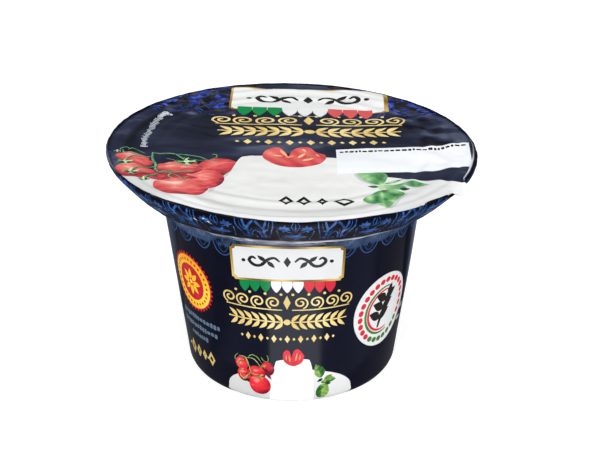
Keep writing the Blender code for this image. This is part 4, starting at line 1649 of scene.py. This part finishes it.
def print_band():
    """Lays the damask round the shoulder, with the small scraps of it that the photo shows and some painted
    glints.
    """
    turns = [360 / REPEATS * i for i in range(REPEATS)]
    between = [turn + 180 / REPEATS for turn in turns]
    uneven = worn(0.40, 0.62, 0.9)

    def tone(x, y):
        # darker towards the crease under the shoulder: painted shade
        return uneven(x, y) - 0.26 * smooth(-4.5, -7.5, y)

    def lay(name, parts, places, **how):
        print_on(name, parts, places, "sleeve_film", **how)

    lay("band_arches", fields("blue", arch_motif(), tone), [on_band(t) for t in between])
    lay("band_leaves", fields("blue", leaf_pair_motif(), tone), [on_band(t) for t in turns])
    large = [on_wall(t, True) for t in between if 20 < t < 340]
    small = [on_wall(t, True) for t in turns if t > 0]
    lay("scallops_large", fields("loop", scallop(2.85, 43.4)), large)
    lay("scallops_small", fields("loop", scallop(2.65, 43.6)), small)
    # painted highlights: white glints on the film's edge
    lay("band_painted_glints", painted_glints(), [on_band(-26.9)], step=0.4)
    lay("rim_specks", on_lid(rim_specks()), [on_rim], step=0.5)


def print_wall():
    """Lays the wall's print: the front, the two sides, then the back and its seam."""
    def lay(name, parts, middle=0.0, **how):
        print_on(name, parts, [on_wall(middle)], "sleeve_film", **how)

    lay("wall_rows", placed(title_rows(), x=-1.2), step=0.6)
    lay("wall_panel", placed(bowed(panel(26.7, 10.0, 0.42), 0.9, 13.3), x=-1.05, y=42.1), lift=0.10)
    lay("wall_valance", placed(bowed(valance(23.0, 3.2), 0.9, 13.3), x=-1.1, y=37.0), lift=0.07)
    lay("wall_picture", wall_picture(), step=0.6)
    lay("wall_seal", placed(seal(), y=30.8, wide=0.95, high=1.0), -53.8, step=0.6)
    lay("wall_medallion", placed(medallion(), y=23.6), 49.1, step=0.7)
    rows = [(0, 15.8), (0, 15.0), (3.4, 11.2)]
    lay("wall_lines", small_rows(rows, -9.0, 19.8, 2.75, 4, "slate"), -50.5, step=0.5)
    lay("wall_marks", placed(small_marks(), x=-3.4, y=8.8), -50.5, step=0.5)
    rows = [(0.4, 3.0), (0, 2.6)]
    lay("side_lines", small_rows(rows, 0, 19.6, 3.4, 9, "pale"), 66, step=0.5)
    rows = [(0, 26), (0, 24.6), (0, 26), (0, 25.2), (0, 26), (0, 17)]
    lay("back_lines", small_rows(rows, -13, 32.0, 2.6, 12, "slate"), 142, step=0.6)
    lay("back_rows", placed(title_rows(), high=0.8, y=14), 142)
    seam = np.array([(-2, -RUN_END + 0.4), (2, -RUN_END + 0.4), (2, -1.6), (-2, -1.6)])
    print_on("film_seam", [Field("seam", seam)], [on_seam], "sleeve_film", step=1.2, lift=0.12)


# ---------------------------------------------------------------- everything together

def main():
    make_camera()
    make_floor()
    make_lights()
    make_card()
    make_fans()
    make_world()
    make_inks()
    # painted light: the pale last tones of the wall, band and tuck prints show the crease's highlights, haze
    # and glints
    pale = (222, 218, 230)
    navy = printed_material("navy_print", ((2, 3, 14), (9, 11, 33), (160, 186, 232)), mottle=0.26)
    dark = printed_material("band_print", ((1, 2, 10), (7, 9, 24), pale), (0.22, 0.34), 0.12, 0.26)
    # the lid's lightest tone serves its painted sheen and highlight spots
    lid_tones = ((2, 5, 20), (16, 21, 41), (34, 40, 63), (86, 92, 114))
    lid_navy = printed_material("lid_navy_print", lid_tones, mottle=0.16)
    tuck_tones = ((3, 4, 12), (12, 14, 32), (222, 228, 252))
    tuck = printed_material("tuck_print", tuck_tones, (0.5, 0.6), 0.03, 0.26)
    make_sleeve_film(navy, dark, tuck)
    make_lid_film(lid_navy)
    print_band()
    print_wall()
    print_lid()
    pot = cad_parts["pot"]
    pot.data.materials.clear()
    pot.data.materials.append(pot_material())


main()
